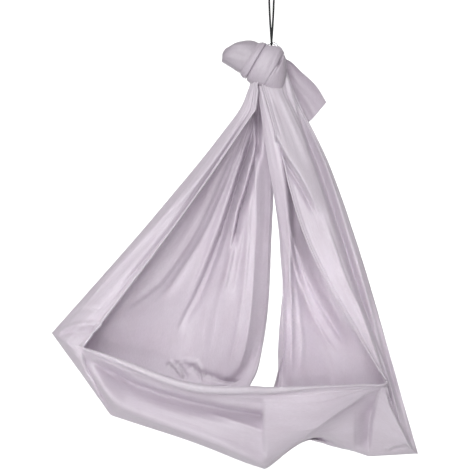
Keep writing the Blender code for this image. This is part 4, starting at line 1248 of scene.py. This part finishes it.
class HAMMOCK_OT_fittings(Operator):
    """Gives the ring, karabiner, swivel and ceiling plate their metal"""

    bl_idname = "hammock.fittings"
    bl_label = "Fittings"

    def execute(self, context):
        fittings = context.scene.hammock_fittings
        polish = tuple(fittings.chrome_colour)
        plate = tuple(fittings.steel_colour)
        dull = tuple(GROUND_SHARE * c for c in plate)
        # Each with its colour, roughness, dullness, grain, stretch and relief
        chrome = metal("polished_chrome", polish, 0.07, 0.25, 40.0, 0.6, 0.00002)
        steel = metal("brushed_plate", plate, 0.26, 0.3, 90.0, 0.05, 0.00005)
        ground = metal("ground_steel", dull, 0.22, 0.25, 120.0, 0.3, 0.00003)
        crimp = metal("crimped_sleeve", SLEEVE_COLOUR, 0.38, 0.3, 60.0, 0.4, 0.00004)
        inside = ("upper_race", "lower_race", "ball_cage", "swivel_nut", "gate_pin")
        finishes = {
            chrome: ("sling_ring", "karabiner_frame", "karabiner_gate"),
            steel: ("ceiling_plate", "swivel_cup", "swivel_eye"),
            ground: (*inside, "gate_plunger", "gate_spring"),
            crimp: ("cord_sleeve",),
        }
        for material, names in finishes.items():
            for name in names:
                mesh = NODES[name].data
                mesh.materials.clear()
                mesh.materials.append(material)
        return {"FINISHED"}


# Stage

# The floor runs back, turns up in a curve and goes on as the backdrop, in metres
FLOOR_FRONT = -9.0
FLOOR_BACK = 6.5
FLOOR_CURVE = 2.0
FLOOR_CURVE_STEPS = 12
BACKDROP_TOP = 9.0
FLOOR_HALF_WIDTH = 12.0
AIR_COLOUR = (1.0, 0.99, 1.0, 1.0)
AIR_STRENGTH = 0.385
# What the lamps point at: the cloth's middle, the backdrop, and the inner wall of each drape
MIDDLE = Vector((-0.15, 0.0, -1.2))
BACKDROP = Vector((-0.15, 8.5, -1.0))
LEFT_WALL = Vector((-0.62, 0.0, -1.52))
RIGHT_WALL = Vector((0.17, 0.05, -1.46))
# Each lamp: name, place, what it points at, size in metres, spread in degrees and power in watts
LAMPS = (
    ("key_light", (-1.0, -4.9, 0.2), MIDDLE, 3.0, 180, 126.0),
    ("top_light", (-0.6, -3.2, 1.8), MIDDLE, 1.6, 180, 38.0),
    ("low_light", (-1.8, -4.6, -2.3), MIDDLE, 1.6, 180, 22.0),
    ("left_wall_light", (-1.4, -4.8, -1.9), LEFT_WALL, 0.4, 9, 0.11),
    ("right_wall_light", (-0.5, -4.9, -1.7), RIGHT_WALL, 0.4, 8, 0.2),
    ("rear_light", (0.5, 3.8, -0.8), MIDDLE, 2.4, 180, 10.0),
    ("left_backdrop_light", (-3.2, 5.0, 0.2), BACKDROP, 1.6, 180, 130.0),
    ("right_backdrop_light", (2.9, 5.0, 0.2), BACKDROP, 1.6, 180, 130.0),
)


class HAMMOCK_OT_stage(Operator):
    """Sets the camera, the pale floor with its backdrop, and the soft lights"""

    bl_idname = "hammock.stage"
    bl_label = "Stage"

    def execute(self, context):
        settings = context.scene.hammock_stage
        camera = bpy.data.cameras.new("picture_camera")
        camera.lens = settings.lens
        camera.sensor_width = 36
        camera.clip_end = 60
        eye = placed("picture_camera", camera)
        eye.location = EYE
        eye.rotation_euler = (math.radians(90), 0, 0)
        context.scene.camera = eye
        self.floor(settings)
        self.lights(context)
        return {"FINISHED"}

    def floor(self, settings):
        """A floor that curves up into a backdrop."""
        pale = tuple(settings.floor_colour)
        material, tree, shader = blank_material("pale_floor", pale)
        grain = add_node(tree, "ShaderNodeTexNoise", {"Scale": 3.0, "Detail": 3.0}).outputs[0]
        shade = tuple(FLOOR_SHADE * c for c in pale)
        tree.links.new(mixed(tree, grain, pale, shade), shader.inputs["Base Color"])
        shader.inputs["Roughness"].default_value = 0.8
        profile = [(FLOOR_FRONT, 0.0), (FLOOR_BACK, 0.0)]
        for k in range(1, FLOOR_CURVE_STEPS + 1):
            turn = math.radians(90 * k / FLOOR_CURVE_STEPS)
            rise = FLOOR_CURVE - FLOOR_CURVE * math.cos(turn)
            profile.append((FLOOR_BACK + FLOOR_CURVE * math.sin(turn), rise))
        profile.append((FLOOR_BACK + FLOOR_CURVE, BACKDROP_TOP))
        sides = (-FLOOR_HALF_WIDTH, FLOOR_HALF_WIDTH)
        verts = [(x, y, settings.floor_level + z) for x in sides for y, z in profile]
        count = len(profile)
        faces = [(k, k + count, k + count + 1, k + 1) for k in range(count - 1)]
        mesh = bpy.data.meshes.new("studio_floor")
        mesh.from_pydata(verts, [], faces)
        mesh.materials.append(material)
        mesh.shade_smooth()
        placed("studio_floor", mesh)

    def lights(self, context):
        """Even light from all round, and soft lamps that the camera doesn't see."""
        world = bpy.data.worlds.new("studio_air")
        world.use_nodes = True
        air = world.node_tree.nodes["Background"].inputs
        air["Color"].default_value = AIR_COLOUR
        air["Strength"].default_value = AIR_STRENGTH
        context.scene.world = world
        context.scene.view_settings.view_transform = "Standard"
        for name, place, aim, size, spread, power in LAMPS:
            data = bpy.data.lights.new(name, "AREA")
            data.shape = "DISK"
            data.size = size
            data.spread = math.radians(spread)
            data.energy = power
            lamp = placed(name, data)
            lamp.location = place
            lamp.rotation_euler = (aim - Vector(place)).to_track_quat("-Z", "Y").to_euler()
            lamp.visible_camera = False


OPERATORS = (
    HAMMOCK_OT_stage,
    HAMMOCK_OT_cord,
    HAMMOCK_OT_cloth,
    HAMMOCK_OT_knot,
    HAMMOCK_OT_free_end,
    HAMMOCK_OT_fittings,
)
GROUPS = {
    "hammock_cloth": HammockCloth,
    "hammock_fittings": HammockFittings,
    "hammock_stage": HammockStage,
}


class HAMMOCK_PT_panel(Panel):
    """Lists the hammock's sizes, colours and pieces"""

    bl_label = "Aerial yoga hammock"
    bl_idname = "HAMMOCK_PT_panel"
    bl_space_type = "VIEW_3D"
    bl_region_type = "UI"
    bl_category = "Hammock"

    def draw(self, context):
        layout = self.layout
        for name in GROUPS:
            settings = getattr(context.scene, name)
            box = layout.box()
            for key in settings.__annotations__:
                box.prop(settings, key)
        for operator in OPERATORS:
            layout.operator(operator.bl_idname)


def register():
    for name, group in GROUPS.items():
        bpy.utils.register_class(group)
        setattr(bpy.types.Scene, name, PointerProperty(type=group))
    for made in (*OPERATORS, HAMMOCK_PT_panel):
        bpy.utils.register_class(made)


def unregister():
    for made in (HAMMOCK_PT_panel, *reversed(OPERATORS)):
        bpy.utils.unregister_class(made)
    for name, group in reversed(GROUPS.items()):
        delattr(bpy.types.Scene, name)
        bpy.utils.unregister_class(group)


def main():
    """Makes every piece and the stage."""
    register()
    for operator in OPERATORS:
        group, name = operator.bl_idname.split(".")
        getattr(getattr(bpy.ops, group), name)()


if __name__ == "__main__":
    main()
